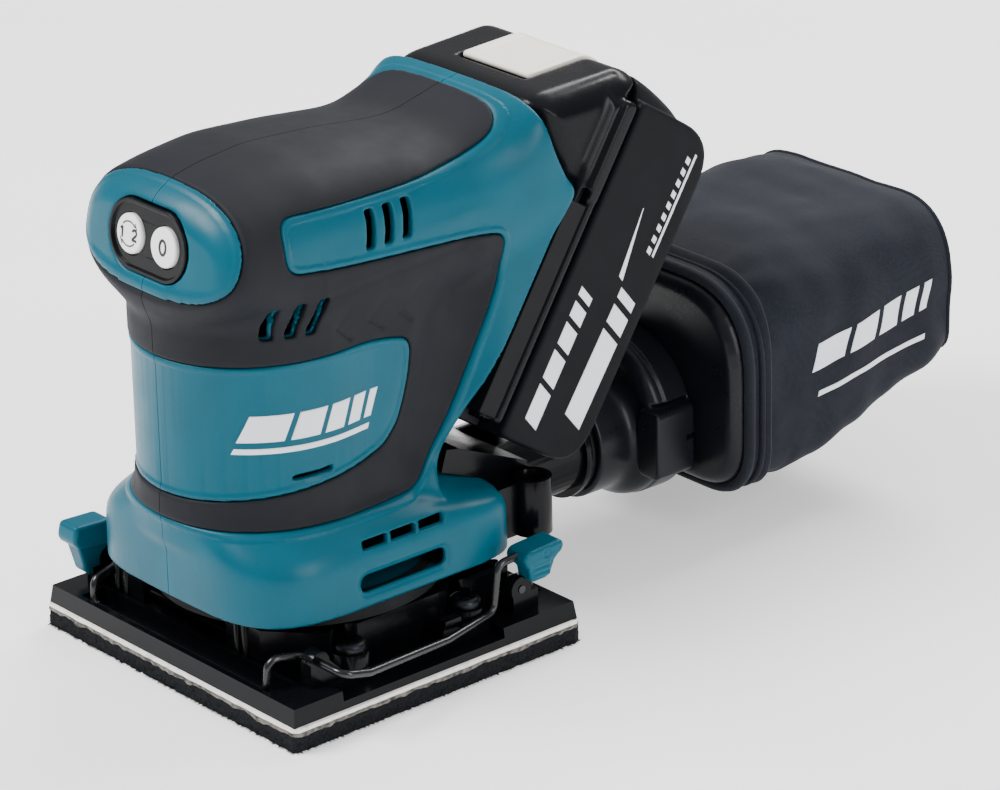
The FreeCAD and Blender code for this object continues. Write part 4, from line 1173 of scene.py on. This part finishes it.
def on_panel(name, node, flat_points, faces, body):
    """Flat print pushed square to the panel until it lies on the face of a button."""
    tree = bvhtree.BVHTree.FromObject(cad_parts[node], bpy.context.evaluated_depsgraph_get())
    inward = Vector((0, math.cos(PANEL_TILT), -math.sin(PANEL_TILT)))
    points = []
    for x, height in flat_points:
        hit = tree.ray_cast(Vector(panel_point(x, height, 8)) * MM, inward)[0]
        points.append(tuple((hit - inward * 0.04 * MM) / MM))
    made = place(name, points, faces, "black_ink", body, "white_plastic")
    facing_out(made, inward)
    thicken(made, "ink", 0.05, 0)


def strokes(paths, half_width):
    """Flat ribbons along lines of points, as points and four-sided faces."""
    points, faces = [], []
    for path in paths:
        line = np.array(path, float)
        slopes = np.gradient(line, axis=0)
        sides = np.stack([-slopes[:, 1], slopes[:, 0]], 1) / np.linalg.norm(slopes, axis=1)[:, None]
        start = len(points)
        for here, side in zip(line, sides):
            points += [tuple(here - side * half_width), tuple(here + side * half_width)]
        for step in range(len(line) - 1):
            k = start + 2 * step
            faces.append((k, k + 2, k + 3, k + 1))
    return points, faces


def arc(x, height, across, up, first, last, steps=20):
    angles = np.radians(np.linspace(first, last, steps))
    return [(x + across * math.cos(angle), height + up * math.sin(angle)) for angle in angles]


def straight(*corners):
    line = []
    for start, end in zip(corners, corners[1:]):
        line += [tuple(np.array(start) + (np.array(end) - start) * t) for t in np.linspace(0, 1, 6)]
    return [point for index, point in enumerate(line) if index == 0 or point != line[index - 1]]


def button_marks():
    """A one and a two between turning arrows on one button, and a nought on the other."""
    left, right = -BUTTON_X - 2.7, -BUTTON_X + 2.5
    one = [straight((left, -1.5), (left, 1.5)), straight((left, 1.5), (left - 0.8, 0.8))]
    two = [arc(right, 0.65, 0.85, 0.85, 170, -40, 14), straight((right + 0.65, 0.1), (right - 0.95, -1.4)),
           straight((right - 0.95, -1.4), (right + 1.05, -1.4))]
    turning = [arc(-BUTTON_X, 0, 3.4, 3.4, 40, 140), arc(-BUTTON_X, 0, 3.4, 3.4, 220, 320)]
    heads = [[(-BUTTON_X + turn * 2.5, turn * 3.3), (-BUTTON_X + turn * 3.4, turn * 1.5)] for turn in (1, -1)]
    on_panel("digits_one_two", "on_button", *strokes(one + two, 0.36), "on_button")
    on_panel("button_arrows", "on_button", *strokes(turning + heads, 0.2), "on_button")
    nought = [arc(BUTTON_X, 0, 1.3, 1.95, 0, 360, 40)]
    on_panel("digit_nought", "off_button", *strokes(nought, 0.42), "off_button")


# ---- camera, floor and light

CAMERA_AT = (0.9538, -0.7428, 0.5754)
CAMERA_ANGLES = (49.535, 22.669, -1.242)        # azimuth, elevation and roll in degrees
CAMERA_LENS = 171.62


def camera():
    """The view of the photograph: a long lens, above the front left of the sander, rolled slightly."""
    azimuth, elevation, roll = (math.radians(angle) for angle in CAMERA_ANGLES)
    data = bpy.data.cameras.new("camera")
    data.sensor_width = 36
    data.lens = CAMERA_LENS
    data.clip_start, data.clip_end = 0.05, 20
    right = Vector((math.cos(azimuth), math.sin(azimuth), 0))
    level = Vector((math.sin(azimuth), -math.cos(azimuth), 0)) * math.cos(elevation)
    back = level + Vector((0, 0, math.sin(elevation)))
    up = back.cross(right)
    across = right * math.cos(roll) + up * math.sin(roll)
    above = up * math.cos(roll) - right * math.sin(roll)
    turned = Matrix((across, above, back)).transposed().to_4x4()
    made = in_scene("camera", data)
    made.matrix_world = Matrix.Translation(CAMERA_AT) @ turned
    bpy.context.scene.camera = made


def floor():
    half = 6.0
    corners = [(-half, -half, 0), (half, -half, 0), (half, half, 0), (-half, half, 0)]
    mesh = bpy.data.meshes.new("floor")
    mesh.from_pydata(corners, [], [(0, 1, 2, 3)])
    made = in_scene("floor", mesh)
    material = Nodes("floor")
    tone = material.mix(material.noise(80, 2), linear(246, 246, 246), linear(252, 252, 252))
    material.link(tone, material.shader.inputs["Base Color"])
    material.set(Roughness=0.8, Emission_Color=(1, 1, 1, 1), Emission_Strength=0.45)
    mesh.materials.append(material.material)


def lamp(name, place_at, aim, size, watts, tint=(1, 1, 1)):
    data = bpy.data.lights.new(name, "AREA")
    data.shape = "RECTANGLE"
    data.size, data.size_y = size
    data.energy = watts
    data.color = tint
    made = in_scene(name, data)
    made.location = place_at
    made.rotation_mode = "QUATERNION"
    made.rotation_quaternion = (Vector(aim) - Vector(place_at)).to_track_quat("-Z", "Y")


def studio():
    """A white room that is bright overhead and dark at the horizon, so that gloss black stays dark."""
    world = bpy.data.worlds.new("studio")
    world.use_nodes = True
    tree = world.node_tree
    add, link = tree.nodes.new, tree.links.new
    background = tree.nodes["Background"]
    place_at, split, tone = add("ShaderNodeTexCoord"), add("ShaderNodeSeparateXYZ"), add("ShaderNodeMapRange")
    for key, value in (("From Min", -0.1), ("From Max", 0.95), ("To Min", 0.16), ("To Max", 0.85)):
        tone.inputs[key].default_value = value
    link(place_at.outputs["Generated"], split.inputs[0])
    link(split.outputs["Z"], tone.inputs["Value"])
    seen, choose = add("ShaderNodeLightPath"), add("ShaderNodeMix")
    link(seen.outputs["Is Camera Ray"], choose.inputs["Factor"])
    link(tone.outputs["Result"], choose.inputs[2])
    choose.inputs[3].default_value = 1.0
    link(choose.outputs[0], background.inputs["Strength"])
    background.inputs["Color"].default_value = (1, 1, 1, 1)
    bpy.context.scene.world = world
    lamp("key", (-0.45, -0.6, 0.95), (0, 0, 0.08), (0.55, 0.4), 19)
    lamp("side", (1.15, 0.1, 0.55), (0, 0.03, 0.07), (0.35, 0.9), 8)
    lamp("back", (-0.2, 0.9, 0.9), (0, 0.08, 0.1), (0.9, 0.35), 15)


# ---- everything

camera()
floor()
studio()
finish_cad_nodes()
shells = housing()
battery_pieces = battery()
levers()
bag_mount()
cloth = bag()
pad()
barrel_mark(shells)
battery_mark(battery_pieces[:2])
bag_mark([cloth])
button_marks()
